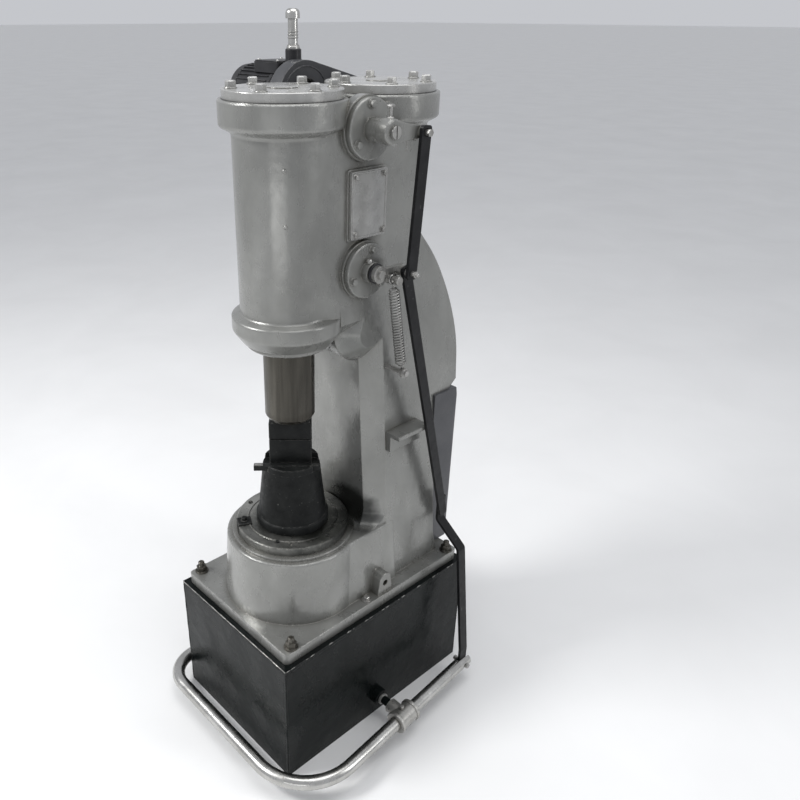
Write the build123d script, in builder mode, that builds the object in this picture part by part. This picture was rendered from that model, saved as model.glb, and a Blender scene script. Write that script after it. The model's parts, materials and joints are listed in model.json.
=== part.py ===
from build123d import *
import os
from math import atan2, degrees, hypot, sqrt

# Air forging hammer on a fabricated stand.
# Frame: +Z up, front (ram side) towards -Y, valve and linkage side towards +X.
# The ram axis is x = 0, y = 0 and the floor is z = 0. Lengths are millimetres.
# Heights above the stand are given from the top of the stand.

# Foot plate of the casting
FOOT_HALF_W = 201.0
FOOT_FRONT_Y = -190.0
FOOT_BACK_Y = 411.0
FOOT_T = 30.0
FOOT_CORNER_R = 12.0
FOOT_HOLE_D = 18.0
FOOT_HOLE_SIDE_EDGE = 17.0
FOOT_HOLE_FRONT_EDGE = 29.0
FOOT_HOLE_BACK_EDGE = 26.0
FOOT_HOLE_X = FOOT_HALF_W - FOOT_HOLE_SIDE_EDGE
FOOT_HOLE_FRONT_Y = FOOT_FRONT_Y + FOOT_HOLE_FRONT_EDGE
FOOT_HOLE_BACK_Y = FOOT_BACK_Y - FOOT_HOLE_BACK_EDGE

# Stand
STAND_MARGIN = 13.0
STAND_HALF_W = FOOT_HALF_W + STAND_MARGIN
STAND_FRONT_Y = FOOT_FRONT_Y - STAND_MARGIN
STAND_BACK_Y = FOOT_BACK_Y + STAND_MARGIN
STAND_TOP_Z = 350.0
STAND_WALL = 8.0
STAND_TOP_T = 10.0
PLATE_TOP_Z = STAND_TOP_Z - STAND_TOP_T
STAND_LENGTH = STAND_BACK_Y - STAND_FRONT_Y
STAND_MID_Y = (STAND_BACK_Y + STAND_FRONT_Y) / 2

# Anvil boss
FOOT_TOP_Z = STAND_TOP_Z + FOOT_T
BOSS_R_TOP = 162.0
BOSS_R_BOTTOM = 174.0
BOSS_WALL_TAPER = 9.0
BOSS_WALL_FOOT_TAPER = 3.0
BOSS_BACK_Y = 200.0
BOSS_TOP_Z = STAND_TOP_Z + 198.0
BOSS_EDGE_R = 6.0
BOSS_FOOT_R = 8.0
SEAT_R = BOSS_R_TOP - 12.0
SEAT_H = 8.0
SEAT_Z = BOSS_TOP_Z + SEAT_H

# Cylinders
BODY_R = 102.5
COLLAR_R = BODY_R + 23.5
COLLAR_SPACE = 10.0
REAR_AXIS_Y = 2 * COLLAR_R + COLLAR_SPACE
COLLAR_Z = STAND_TOP_Z + 1139.0
COLLAR_NECK_H = 12.0
COLLAR_NECK_R = 10.0
COLLAR_EDGE_R = 9.0
COLLAR_TOP_R = 4.0
COVER_SEAT_Z = STAND_TOP_Z + 1188.0
COVER_R = COLLAR_R - 9.0
COVER_T = 18.0
COVER_EDGE = 1.5
REAR_BOTTOM_Z = STAND_TOP_Z + 890.0
BELLY_R = BODY_R + 18.5
BELLY_TOP_Z = STAND_TOP_Z + 766.0
BELLY_SHOULDER = 8.0
BELLY_SIDE_Z = STAND_TOP_Z + 728.0
BELLY_BOTTOM_Z = STAND_TOP_Z + 700.0
BELLY_BOTTOM_R = BELLY_R - 20.0
BELLY_EDGE_R = 5.0
GLAND_R = BELLY_BOTTOM_R - 8.5
GLAND_T = 12.0
GLAND_EDGE = 3.0
GLAND_CLEARANCE = 1.0
GLAND_BOTTOM_Z = BELLY_BOTTOM_Z - GLAND_T

# Column and crankcase
COLUMN_FRONT_Y = 140.0
COLUMN_CORNER = 40.0
COLUMN_BACK_Y = 356.0
COLUMN_EDGE_R = 7.0
COLUMN_FOOT_R = 40.0
COLUMN_BACK_FLARE = 12.0
COLUMN_BACK_FLARE_H = 60.0
COLUMN_TOP_Z = COVER_SEAT_Z - 12.0
HAUNCH_R = 70.0
HAUNCH_TOP_Z = BELLY_BOTTOM_Z + 2.0
SIDE_X_TOP = BODY_R
SIDE_STRAIGHT_Z = STAND_TOP_Z + 890.0
SIDE_MID_Z = STAND_TOP_Z + 780.0
SIDE_X_MID = SIDE_X_TOP + 4.5
SIDE_X_FOOT = 162.0
BLEND_Y = 55.0
CRANKCASE_BACK_Y = 438.0
CRANKCASE_TOP_Z = STAND_TOP_Z + 980.0
CRANKCASE_BOTTOM_Z = STAND_TOP_Z + 510.0
REAR_COVER_BACK_Y = CRANKCASE_BACK_Y + 8.0
REAR_COVER_HALF_W = 136.0
REAR_COVER_TOP_Z = CRANKCASE_BOTTOM_Z - 60.0
REAR_COVER_SLOPE = 14.0
REAR_COVER_SLOPE_H = 50.0
REAR_COVER_EDGE_R = 14.0

# Lug with a cross hole on the right of the foot plate
LUG_Y = 137.0
LUG_R = 19.0
LUG_W = 50.0
LUG_H = 58.0
LUG_HOLE_D = 16.0
LUG_HOLE_UP = 30.0

# Anvil, dies and ram, stacked upwards from the seat
DISC_R = BOSS_R_TOP - 25.0
DISC_T = 21.0
DISC_TOP_Z = SEAT_Z + DISC_T
SEAT_RELIEF = 2.0
DISC_EDGE = 2.0
CLAMP_ANGLE = 242.0
CLAMP_W = 32.0
CLAMP_DEPTH = 34.0
CLAMP_H = 26.0
SOW_BASE_R = 76.0
SOW_TOP_R = 61.0
SOW_H = 167.0
SOW_TOP_Z = DISC_TOP_Z + SOW_H
DIE_L = 98.0
DIE_W = 54.0
DIE_FOOT_STEP = 20.0
DIE_EDGE = 4.0
LOWER_DIE_H = 62.0
LOWER_DIE_TOP_Z = SOW_TOP_Z + LOWER_DIE_H
DIE_GAP = 1.0
UPPER_DIE_H = 51.0
UPPER_DIE_BOTTOM_Z = LOWER_DIE_TOP_Z + DIE_GAP
KEY_LENGTH = 168.0
KEY_SHIFT_X = -18.0
KEY_H = 14.0
KEY_W = 16.0
RAM_R = 57.0
RAM_FIT = 0.06
BORE_R = RAM_R + RAM_FIT
RAM_BOTTOM_Z = UPPER_DIE_BOTTOM_Z + UPPER_DIE_H
RAM_L = 487.0
RAM_TOP_Z = RAM_BOTTOM_Z + RAM_L
RAM_FLAT_X = RAM_R - 3.5
RAM_FLAT_W = 60.0
RAM_FOOT_EDGE = 6.0
RAM_FOOT_EDGE_H = 10.0
RAM_TOP_EDGE = 3.0

# Valves on the right side of the casting
VALVE_Y = 118.0
UPPER_VALVE_Z = STAND_TOP_Z + 1133.0
LOWER_VALVE_Z = STAND_TOP_Z + 853.0
PAD_X = BODY_R + 9.5
PAD_ROOT = 22.0
FLANGE_T = 12.0
FLANGE_X = PAD_X + FLANGE_T
VALVE_FLANGE_R = 58.0
VALVE_PAD_R = VALVE_FLANGE_R + 4.0
HUB_R = 22.0
UPPER_HUB_X = FLANGE_X + 30.0
LOWER_HUB_X = FLANGE_X + 18.0
SPINDLE_R = 9.0
SPINDLE_FIT = 0.05
SPINDLE_DEPTH = 15.0
SPINDLE_WELL = 4.0
LEVER_SPACE = 1.0
COVER_PLATE_Y = VALVE_Y + 6.0
COVER_PLATE_Z = STAND_TOP_Z + 989.0
COVER_PLATE_W = 98.0
COVER_PLATE_H = 134.0
COVER_PLATE_T = 8.0
COVER_PAD_RIM = 4.0
COVER_PAD_X = PAD_X - 4.0

# Link bars, from the casting outwards
LOWER_ARM_T = 10.0
LOWER_ARM_IN_X = LOWER_HUB_X + 8.0
LOWER_ARM_OUT_X = LOWER_ARM_IN_X + LOWER_ARM_T
LONG_BAR_IN_X = LOWER_ARM_OUT_X + 16.0
BAR_T = 8.0
LONG_BAR_OUT_X = LONG_BAR_IN_X + BAR_T
BAR_SPACE = 6.0
UPPER_BAR_IN_X = LONG_BAR_OUT_X + BAR_SPACE
UPPER_BAR_OUT_X = UPPER_BAR_IN_X + BAR_T
UPPER_BAR_W = 26.0
LONG_BAR_W = 25.0
CRANKED_BAR_W = 26.0
PIN_R = 6.0
PIN_HEAD = 6.0
PIN_PLAY = 1.6
BOSS_GAP = 0.5
PIN_BOSS_R = 11.0

# Upper lever
UPPER_ARM_Y = 75.0
UPPER_ARM_DROP = 5.0
UPPER_LEVER_R = 24.0
UPPER_LEVER_END = 11.0
UPPER_LEVER_NOSE = 8.0
SPINDLE_HEAD_R = 12.0
SPINDLE_HEAD_T = 6.0
SPINDLE_SLOT = 3.0
UPPER_PIN_Y = VALVE_Y + UPPER_ARM_Y
UPPER_PIN_Z = UPPER_VALVE_Z - UPPER_ARM_DROP

# Lower lever and return spring
LOWER_ARM_Y = 55.0
LOWER_ARM_H = 20.0
LOWER_ARM_NOSE = 14.0
LOWER_LEVER_R = 18.0
LOWER_PIN_Y = VALVE_Y + LOWER_ARM_Y
LOWER_PIN_Z = LOWER_VALVE_Z
SPRING_PIN_R = 8.5
SPRING_PIN_EDGE = 3.0
SPRING_PIN_HOLE_D = 4.0
SPRING_TOP_Y = VALVE_Y + 29.0
SPRING_TOP_Z = LOWER_VALVE_Z - 13.0
SPRING_PIN_OUT_X = UPPER_BAR_IN_X - 3.0
SPRING_X = LOWER_ARM_OUT_X + 8.0
SPRING_R = 11.0
SPRING_WIRE_R = 1.5
SPRING_NECK_R = 2.5
HOOK_GAP = 0.3
HOOK_NECK = 6.0
SPRING_CONE = 8.0
ANCHOR_Y = 187.0
ANCHOR_Z = STAND_TOP_Z + 617.0
ANCHOR_R = 6.0
ANCHOR_HEAD_R = 11.0
ANCHOR_HEAD_T = 8.0

# Cranked bar down to the treadle heel
KNEE_Y = 363.0
KNEE_END_Z = STAND_TOP_Z + 158.0
KNEE_LAP = 50.0
KNEE_BEND_Z = KNEE_END_Z - 18.0
CRANK_OUT_X = STAND_HALF_W + 35.0
CRANK_OUT_Z = KNEE_BEND_Z - 57.0
BAR_BEND_R = 12.0
HEEL_Z = 60.0
HEEL_BAR_STRAIGHT = 50.0
HEEL_BAR_FOOT = 13.0

# Treadle loop
TREADLE_R = 17.0
TREADLE_Z = HEEL_Z
TREADLE_LEFT_X = -STAND_HALF_W - 28.0
TREADLE_LEFT_END_Y = 260.0
TREADLE_FRONT_Y = STAND_FRONT_Y - 61.0
TREADLE_CORNER_X = STAND_HALF_W + 126.0
TREADLE_HEEL_X = STAND_HALF_W + 76.0
TREADLE_LEFT_BEND_R = 80.0
TREADLE_RIGHT_BEND_R = 150.0
TREADLE_END_Y = KNEE_Y + 21.0
HEEL_SLOT_SPACE = 1.5
HEEL_SLOT_DEPTH = 38.0
HEEL_PIN_Y = KNEE_Y
PIVOT_Y = 104.0
PIVOT_Z = TREADLE_Z
PIVOT_R = 11.0
PIVOT_FIT = 0.08
PIVOT_END_SPACE = 3.0
LEFT_PIVOT_R = 8.0
TEE_R = TREADLE_R + 9.0
TEE_LENGTH = 66.0
TEE_LIP_R = TEE_R + 3.0
TEE_LIP_T = 9.0
TEE_BRANCH_R = 19.0
TEE_BRANCH_L = 48.0
STUB_FLANGE_R = 22.0
STUB_FLANGE_T = 18.0
COLLAR_LEFT_R = TREADLE_R + 6.0
COLLAR_LEFT_L = 52.0

# Ledge on the right side of the column
LEDGE_Z = STAND_TOP_Z + 450.0
LEDGE_X = 100.0
LEDGE_Y = COLUMN_FRONT_Y + 44.0
LEDGE_L = 104.0
LEDGE_OUT = 75.0
LEDGE_T = 10.0
LEDGE_RIB_OUT = 48.0
LEDGE_RIB_H = 50.0

# Motor and belt drive on the left side
MOTOR_Y = 204.0
MOTOR_Z = STAND_TOP_Z + 1164.0
MOTOR_R = 60.0
MOTOR_EDGE = 10.0
GUARD_IN_X = -BODY_R - 69.5
GUARD_SHEET = 3.0
GUARD_DEPTH = 38.0
GUARD_OUT_X = GUARD_IN_X - GUARD_DEPTH
GUARD_R = 76.0
GUARD_WINDOW_R = 40.0
GUARD_SHOULDER_Y = 345.0
GUARD_SHOULDER_Z = MOTOR_Z - 32.0
GUARD_SHOULDER_R = 70.0
GUARD_SHAFT_SPACE = 2.0
DRIVE_SPACE = 5.0
DRIVE_IN_X = GUARD_IN_X - GUARD_SHEET - DRIVE_SPACE
DRIVE_W = GUARD_DEPTH - 2 * GUARD_SHEET - 2 * DRIVE_SPACE
MOTOR_PULLEY_R = 52.0
BELT_T = 9.0
BELT_INSET = 3.0
PULLEY_HUB_R = 18.0
PULLEY_RIM = 12.0
PULLEY_SPOKES = 5
PULLEY_SPOKE_W = 9.0
MOTOR_SHAFT_R = 14.0
FLYWHEEL_Y = 290.0
FLYWHEEL_Z = STAND_TOP_Z + 550.0
FLYWHEEL_R = 165.0
FLYWHEEL_SHAFT_R = 32.0
FLYWHEEL_SHAFT_ROOT_X = -BODY_R + 2.5
GUARD_FLYWHEEL_R = FLYWHEEL_R + BELT_T + 15.0
MOTOR_IN_X = GUARD_OUT_X - 2.0
MOTOR_L = 178.0
MOTOR_OUT_X = MOTOR_IN_X - MOTOR_L
BRACKET_T = 16.0
BRACKET_W = 70.0
BRACKET_ROOT_X = -BODY_R + 12.5
BOX_L = 88.0
BOX_W = 84.0
BOX_H = 22.0
BOX_SUNK = 12.0
BOX_EDGE_R = 6.0
BOX_IN_X = MOTOR_IN_X - 6.0
BOX_TOP_Z = MOTOR_Z + MOTOR_R - BOX_SUNK + BOX_H
POST_X = BOX_IN_X - 20.0
POST_Y = MOTOR_Y + 20.0
SOCKET_R = 18.0
SOCKET_H = 26.0
POST_R = 11.0
POST_H = 60.0
POST_HEAD_R = 16.0
POST_HEAD_H = 20.0

os.makedirs("parts", exist_ok=True)

# Main casting, first block: foot plate with the anvil boss standing on it.
with BuildPart() as boss_block:
    with BuildSketch(Plane.XY.offset(STAND_TOP_Z)):
        with Locations((0, (FOOT_FRONT_Y + FOOT_BACK_Y) / 2)):
            RectangleRounded(2 * FOOT_HALF_W, FOOT_BACK_Y - FOOT_FRONT_Y, FOOT_CORNER_R)
    extrude(amount=FOOT_T)
    with BuildSketch(Plane.XY.offset(FOOT_TOP_Z)):
        Circle(BOSS_R_BOTTOM)
        with Locations((0, BOSS_BACK_Y / 2)):
            Rectangle(2 * (BOSS_R_BOTTOM - BOSS_WALL_FOOT_TAPER), BOSS_BACK_Y)
    with BuildSketch(Plane.XY.offset(BOSS_TOP_Z)):
        Circle(BOSS_R_TOP)
        with Locations((0, BOSS_BACK_Y / 2)):
            Rectangle(2 * (BOSS_R_TOP - BOSS_WALL_TAPER), BOSS_BACK_Y)
    loft()
    boss_rim = boss_block.edges().filter_by(lambda e: abs(e.center().Z - BOSS_TOP_Z) < 0.1)
    fillet(boss_rim, BOSS_EDGE_R)
    with Locations((0, 0, BOSS_TOP_Z)):
        Cylinder(SEAT_R, SEAT_H, align=(Align.CENTER, Align.CENTER, Align.MIN))

# Second block: column, haunch and crankcase from the side, trimmed to the front view.
with BuildPart() as column_block:
    with BuildSketch(Plane.YZ):
        with BuildLine():
            Polyline(
                (COLUMN_BACK_Y + COLUMN_BACK_FLARE, FOOT_TOP_Z),
                (COLUMN_FRONT_Y, FOOT_TOP_Z),
                (COLUMN_FRONT_Y, HAUNCH_TOP_Z - HAUNCH_R),
            )
            RadiusArc(
                (COLUMN_FRONT_Y, HAUNCH_TOP_Z - HAUNCH_R),
                (COLUMN_FRONT_Y - HAUNCH_R, HAUNCH_TOP_Z),
                HAUNCH_R,
            )
            Polyline(
                (COLUMN_FRONT_Y - HAUNCH_R, HAUNCH_TOP_Z),
                (0, HAUNCH_TOP_Z),
                (0, COLUMN_TOP_Z),
                (REAR_AXIS_Y, COLUMN_TOP_Z),
                (REAR_AXIS_Y, CRANKCASE_TOP_Z),
            )
            Spline(
                (REAR_AXIS_Y, CRANKCASE_TOP_Z),
                (REAR_AXIS_Y + 69.0, STAND_TOP_Z + 862.0),
                (CRANKCASE_BACK_Y - 30.0, STAND_TOP_Z + 722.0),
                (CRANKCASE_BACK_Y - 2.0, STAND_TOP_Z + 612.0),
                (CRANKCASE_BACK_Y, CRANKCASE_BOTTOM_Z),
                tangents=[(0.15, -1.0), (0.0, -1.0)],
            )
            Polyline(
                (CRANKCASE_BACK_Y, CRANKCASE_BOTTOM_Z),
                (COLUMN_BACK_Y, REAR_COVER_TOP_Z),
                (COLUMN_BACK_Y, FOOT_TOP_Z + COLUMN_BACK_FLARE_H),
                (COLUMN_BACK_Y + COLUMN_BACK_FLARE, FOOT_TOP_Z),
            )
        make_face()
    extrude(amount=SIDE_X_FOOT + 20.0, both=True)
    with BuildSketch(Plane.XZ):
        with BuildLine():
            Polyline(
                (-SIDE_X_FOOT, FOOT_TOP_Z),
                (SIDE_X_FOOT, FOOT_TOP_Z),
                (SIDE_X_MID, SIDE_MID_Z),
                (SIDE_X_TOP, SIDE_STRAIGHT_Z),
                (SIDE_X_TOP, COLUMN_TOP_Z),
                (-SIDE_X_TOP, COLUMN_TOP_Z),
                (-SIDE_X_TOP, SIDE_STRAIGHT_Z),
                (-SIDE_X_MID, SIDE_MID_Z),
                close=True,
            )
        make_face()
    extrude(amount=CRANKCASE_BACK_Y + 100.0, both=True, mode=Mode.INTERSECT)
    with BuildSketch(Plane.XY.offset(FOOT_TOP_Z - 10.0)):
        with BuildLine():
            Polyline(
                (-SIDE_X_TOP, 0),
                (SIDE_X_TOP, 0),
                (SIDE_X_MID, BLEND_Y),
                (SIDE_X_FOOT + 10.0, BLEND_Y),
                (SIDE_X_FOOT + 10.0, CRANKCASE_BACK_Y + 10.0),
                (-SIDE_X_FOOT - 10.0, CRANKCASE_BACK_Y + 10.0),
                (-SIDE_X_FOOT - 10.0, BLEND_Y),
                (-SIDE_X_MID, BLEND_Y),
                close=True,
            )
        make_face()
    extrude(amount=COLUMN_TOP_Z, mode=Mode.INTERSECT)
    corner_edges = column_block.edges().filter_by(
        lambda e: abs(e.center().X) > SIDE_X_MID - 8.0
        and e.center().Y < COLUMN_FRONT_Y + 1.0
        and e.center().Y > BLEND_Y + 1.0
        and e.center().Z < HAUNCH_TOP_Z + 1.0
        and e.center().Z > FOOT_TOP_Z + 1.0
    )
    chamfer(corner_edges, COLUMN_CORNER)

# Fillet between the column foot and the top of the boss.
FOOT_SIDE_X = SIDE_X_FOOT - (SIDE_X_FOOT - SIDE_X_MID) * (
    BOSS_TOP_Z + COLUMN_FOOT_R - FOOT_TOP_Z
) / (SIDE_MID_Z - FOOT_TOP_Z)
with BuildPart() as column_foot:
    with BuildLine(Plane.XY.offset(BOSS_TOP_Z)):
        Polyline(
            (FOOT_SIDE_X, COLUMN_FRONT_Y + COLUMN_CORNER),
            (FOOT_SIDE_X - COLUMN_CORNER, COLUMN_FRONT_Y),
            (COLUMN_CORNER - FOOT_SIDE_X, COLUMN_FRONT_Y),
            (-FOOT_SIDE_X, COLUMN_FRONT_Y + COLUMN_CORNER),
        )
    with BuildSketch(
        Plane(
            origin=(FOOT_SIDE_X, COLUMN_FRONT_Y + COLUMN_CORNER, BOSS_TOP_Z),
            x_dir=(1, -1, 0),
            z_dir=(-1, -1, 0),
        )
    ):
        with BuildLine():
            Polyline(
                (COLUMN_FOOT_R, 0),
                (COLUMN_FOOT_R, -BOSS_EDGE_R),
                (-COLUMN_FOOT_R, -BOSS_EDGE_R),
                (-COLUMN_FOOT_R, COLUMN_FOOT_R),
                (0, COLUMN_FOOT_R),
            )
            RadiusArc((0, COLUMN_FOOT_R), (COLUMN_FOOT_R, 0), -COLUMN_FOOT_R)
        make_face()
    sweep(transition=Transition.RIGHT)
    with Locations((0, COLUMN_FRONT_Y, BOSS_TOP_Z)):
        Box(
            2 * (BOSS_R_TOP - BOSS_WALL_TAPER - BOSS_EDGE_R),
            2 * COLUMN_FRONT_Y,
            4 * COLUMN_FOOT_R,
            mode=Mode.INTERSECT,
        )

with BuildPart() as main_casting:
    add(boss_block.part)
    add(column_block.part)
    add(column_foot.part)
    with BuildSketch(Plane.XZ):
        with BuildLine():
            FilletPolyline(
                (0, BELLY_BOTTOM_Z),
                (BELLY_BOTTOM_R, BELLY_BOTTOM_Z),
                (BELLY_R, BELLY_SIDE_Z),
                (BELLY_R, BELLY_TOP_Z - BELLY_SHOULDER),
                (BODY_R, BELLY_TOP_Z),
                (BODY_R, COLLAR_Z - COLLAR_NECK_H),
                (COLLAR_R, COLLAR_Z),
                (COLLAR_R, COVER_SEAT_Z),
                (0, COVER_SEAT_Z),
                radius=[
                    BELLY_EDGE_R,
                    2 * BELLY_EDGE_R,
                    BELLY_EDGE_R,
                    BELLY_EDGE_R,
                    COLLAR_NECK_R,
                    COLLAR_EDGE_R,
                    COLLAR_TOP_R,
                ],
            )
            Line((0, COVER_SEAT_Z), (0, BELLY_BOTTOM_Z))
        make_face()
    revolve(axis=Axis.Z)
    with BuildSketch(Plane.XZ.offset(-REAR_AXIS_Y)):
        with BuildLine():
            FilletPolyline(
                (0, REAR_BOTTOM_Z),
                (BODY_R, REAR_BOTTOM_Z),
                (BODY_R, COLLAR_Z - COLLAR_NECK_H),
                (COLLAR_R, COLLAR_Z),
                (COLLAR_R, COVER_SEAT_Z),
                (0, COVER_SEAT_Z),
                radius=[BELLY_EDGE_R, COLLAR_NECK_R, COLLAR_EDGE_R, COLLAR_TOP_R],
            )
            Line((0, COVER_SEAT_Z), (0, REAR_BOTTOM_Z))
        make_face()
    revolve(axis=Axis((0, REAR_AXIS_Y, 0), (0, 0, 1)))
    for valve_z in (UPPER_VALVE_Z, LOWER_VALVE_Z):
        with BuildSketch(Plane.YZ.offset(PAD_X - PAD_ROOT)):
            with Locations((VALVE_Y, valve_z)):
                Circle(VALVE_PAD_R)
        extrude(amount=PAD_ROOT)
    with BuildSketch(Plane.YZ.offset(PAD_X - PAD_ROOT)):
        with Locations((COVER_PLATE_Y, COVER_PLATE_Z)):
            RectangleRounded(
                COVER_PLATE_W + 2 * COVER_PAD_RIM,
                COVER_PLATE_H + 2 * COVER_PAD_RIM,
                COVER_PAD_RIM + 2.0,
            )
    extrude(amount=COVER_PAD_X - PAD_X + PAD_ROOT)
    with BuildSketch(Plane.YZ.offset(SIDE_X_FOOT - 12.0)):
        with Locations((LUG_Y, FOOT_TOP_Z + LUG_H - LUG_R)):
            Circle(LUG_R)
        with Locations((LUG_Y, FOOT_TOP_Z)):
            Rectangle(LUG_W, 4.0)
        make_hull()
    extrude(amount=FOOT_HALF_W - SIDE_X_FOOT + 6.0)
    with Locations((0, 0, BELLY_BOTTOM_Z - HAUNCH_R)):
        Cylinder(
            BORE_R,
            COVER_SEAT_Z - BELLY_BOTTOM_Z + HAUNCH_R + 10.0,
            align=(Align.CENTER, Align.CENTER, Align.MIN),
            mode=Mode.SUBTRACT,
        )
    with Locations((0, 0, BELLY_BOTTOM_Z)):
        Cylinder(
            GLAND_R + GLAND_CLEARANCE,
            2 * HAUNCH_R,
            align=(Align.CENTER, Align.CENTER, Align.MAX),
            mode=Mode.SUBTRACT,
        )
    with Locations((0, 0, SEAT_Z)):
        Cylinder(
            DISC_R + SEAT_RELIEF,
            DISC_T + COLUMN_FOOT_R,
            align=(Align.CENTER, Align.CENTER, Align.MIN),
            mode=Mode.SUBTRACT,
        )
    for x in (-FOOT_HOLE_X, FOOT_HOLE_X):
        for y in (FOOT_HOLE_FRONT_Y, FOOT_HOLE_BACK_Y):
            with Locations((x, y, STAND_TOP_Z + FOOT_T / 2)):
                Cylinder(FOOT_HOLE_D / 2, FOOT_T + 4.0, mode=Mode.SUBTRACT)
    for valve_z in (UPPER_VALVE_Z, LOWER_VALVE_Z):
        with Locations(Location((PAD_X, VALVE_Y, valve_z), (0, 90, 0))):
            Cylinder(
                SPINDLE_R + SPINDLE_WELL,
                2 * SPINDLE_DEPTH + 10.0,
                mode=Mode.SUBTRACT,
            )
    with Locations(Location((FOOT_HALF_W, LUG_Y, FOOT_TOP_Z + LUG_HOLE_UP), (0, 90, 0))):
        Cylinder(LUG_HOLE_D / 2, LUG_W, mode=Mode.SUBTRACT)
main_casting.part.label = "main_casting"
export_step(main_casting.part, "parts/main_casting.step")

# Cylinder covers and the gland ring under the front cylinder.
with BuildPart() as front_cylinder_cover:
    with Locations((0, 0, COVER_SEAT_Z)):
        Cylinder(COVER_R, COVER_T, align=(Align.CENTER, Align.CENTER, Align.MIN))
    chamfer(front_cylinder_cover.edges().group_by(Axis.Z)[-1], COVER_EDGE)
front_cylinder_cover.part.label = "front_cylinder_cover"
export_step(front_cylinder_cover.part, "parts/front_cylinder_cover.step")

with BuildPart() as rear_cylinder_cover:
    with Locations((0, REAR_AXIS_Y, COVER_SEAT_Z)):
        Cylinder(COVER_R, COVER_T, align=(Align.CENTER, Align.CENTER, Align.MIN))
    chamfer(rear_cylinder_cover.edges().group_by(Axis.Z)[-1], COVER_EDGE)
rear_cylinder_cover.part.label = "rear_cylinder_cover"
export_step(rear_cylinder_cover.part, "parts/rear_cylinder_cover.step")

with BuildPart() as ram_gland:
    with Locations((0, 0, GLAND_BOTTOM_Z)):
        Cylinder(GLAND_R, GLAND_T, align=(Align.CENTER, Align.CENTER, Align.MIN))
        Cylinder(
            BORE_R,
            GLAND_T,
            align=(Align.CENTER, Align.CENTER, Align.MIN),
            mode=Mode.SUBTRACT,
        )
    outer_edge = ram_gland.edges().group_by(Axis.Z)[0].sort_by(SortBy.RADIUS)[-1]
    chamfer(outer_edge, GLAND_EDGE)
ram_gland.part.label = "ram_gland"
export_step(ram_gland.part, "parts/ram_gland.step")

# Ram with guide flats and the upper die.
with BuildPart() as ram:
    with BuildSketch(Plane.XZ):
        with BuildLine():
            Polyline(
                (0, RAM_BOTTOM_Z),
                (RAM_R - RAM_FOOT_EDGE, RAM_BOTTOM_Z),
                (RAM_R, RAM_BOTTOM_Z + RAM_FOOT_EDGE_H),
                (RAM_R, RAM_TOP_Z - RAM_TOP_EDGE),
                (RAM_R - RAM_TOP_EDGE, RAM_TOP_Z),
                (0, RAM_TOP_Z),
                close=True,
            )
        make_face()
    revolve(axis=Axis.Z)
    for side in (-1, 1):
        with Locations((side * (RAM_FLAT_X + 10.0), 0, RAM_BOTTOM_Z + RAM_L / 2)):
            Box(20.0, RAM_FLAT_W, RAM_L + 10.0, mode=Mode.SUBTRACT)
ram.part.label = "ram"
export_step(ram.part, "parts/ram.step")

with BuildPart() as upper_die:
    with Locations((0, 0, UPPER_DIE_BOTTOM_Z)):
        Box(DIE_L, DIE_W, UPPER_DIE_H, align=(Align.CENTER, Align.CENTER, Align.MIN))
    chamfer(upper_die.edges().filter_by(Axis.Z), DIE_EDGE)
upper_die.part.label = "upper_die"
export_step(upper_die.part, "parts/upper_die.step")

# Anvil disc with its clamp, sow block, lower die and its key.
CLAMP_MID_R = DISC_R - CLAMP_DEPTH / 2
CLAMP_PLACE = Location((0, 0, SEAT_Z), (0, 0, CLAMP_ANGLE)) * Location((CLAMP_MID_R, 0, 0))
with BuildPart() as anvil_disc:
    with Locations((0, 0, SEAT_Z)):
        Cylinder(DISC_R, DISC_T, align=(Align.CENTER, Align.CENTER, Align.MIN))
    chamfer(anvil_disc.edges().group_by(Axis.Z)[-1], DISC_EDGE)
    with Locations(CLAMP_PLACE):
        Box(
            CLAMP_DEPTH + 2 * DISC_EDGE,
            CLAMP_W,
            2 * DISC_T,
            align=(Align.CENTER, Align.CENTER, Align.MIN),
            mode=Mode.SUBTRACT,
        )
anvil_disc.part.label = "anvil_disc"
export_step(anvil_disc.part, "parts/anvil_disc.step")

with BuildPart() as disc_clamp:
    with Locations(CLAMP_PLACE):
        Box(
            CLAMP_DEPTH,
            CLAMP_W,
            CLAMP_H,
            align=(Align.CENTER, Align.CENTER, Align.MIN),
        )
    chamfer(disc_clamp.edges().group_by(Axis.Z)[-1], DISC_EDGE)
disc_clamp.part.label = "disc_clamp"
export_step(disc_clamp.part, "parts/disc_clamp.step")

with BuildPart() as sow_block:
    with Locations((0, 0, DISC_TOP_Z)):
        Cone(
            SOW_BASE_R,
            SOW_TOP_R,
            SOW_H,
            align=(Align.CENTER, Align.CENTER, Align.MIN),
        )
    with Locations((0, 0, SOW_TOP_Z)):
        Box(
            2 * SOW_BASE_R,
            DIE_W - DIE_FOOT_STEP + KEY_W,
            2 * KEY_H,
            mode=Mode.SUBTRACT,
        )
sow_block.part.label = "sow_block"
export_step(sow_block.part, "parts/sow_block.step")

with BuildPart() as lower_die:
    with Locations((0, -KEY_W / 2, SOW_TOP_Z - KEY_H)):
        Box(
            DIE_L,
            DIE_W - DIE_FOOT_STEP,
            LOWER_DIE_H + KEY_H,
            align=(Align.CENTER, Align.CENTER, Align.MIN),
        )
    with Locations((0, 0, SOW_TOP_Z)):
        Box(DIE_L, DIE_W, LOWER_DIE_H, align=(Align.CENTER, Align.CENTER, Align.MIN))
lower_die.part.label = "lower_die"
export_step(lower_die.part, "parts/lower_die.step")

with BuildPart() as die_key:
    with Locations((KEY_SHIFT_X, (DIE_W - DIE_FOOT_STEP) / 2, SOW_TOP_Z - KEY_H)):
        Box(
            KEY_LENGTH,
            KEY_W,
            KEY_H,
            align=(Align.CENTER, Align.CENTER, Align.MIN),
        )
die_key.part.label = "die_key"
export_step(die_key.part, "parts/die_key.step")

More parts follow.
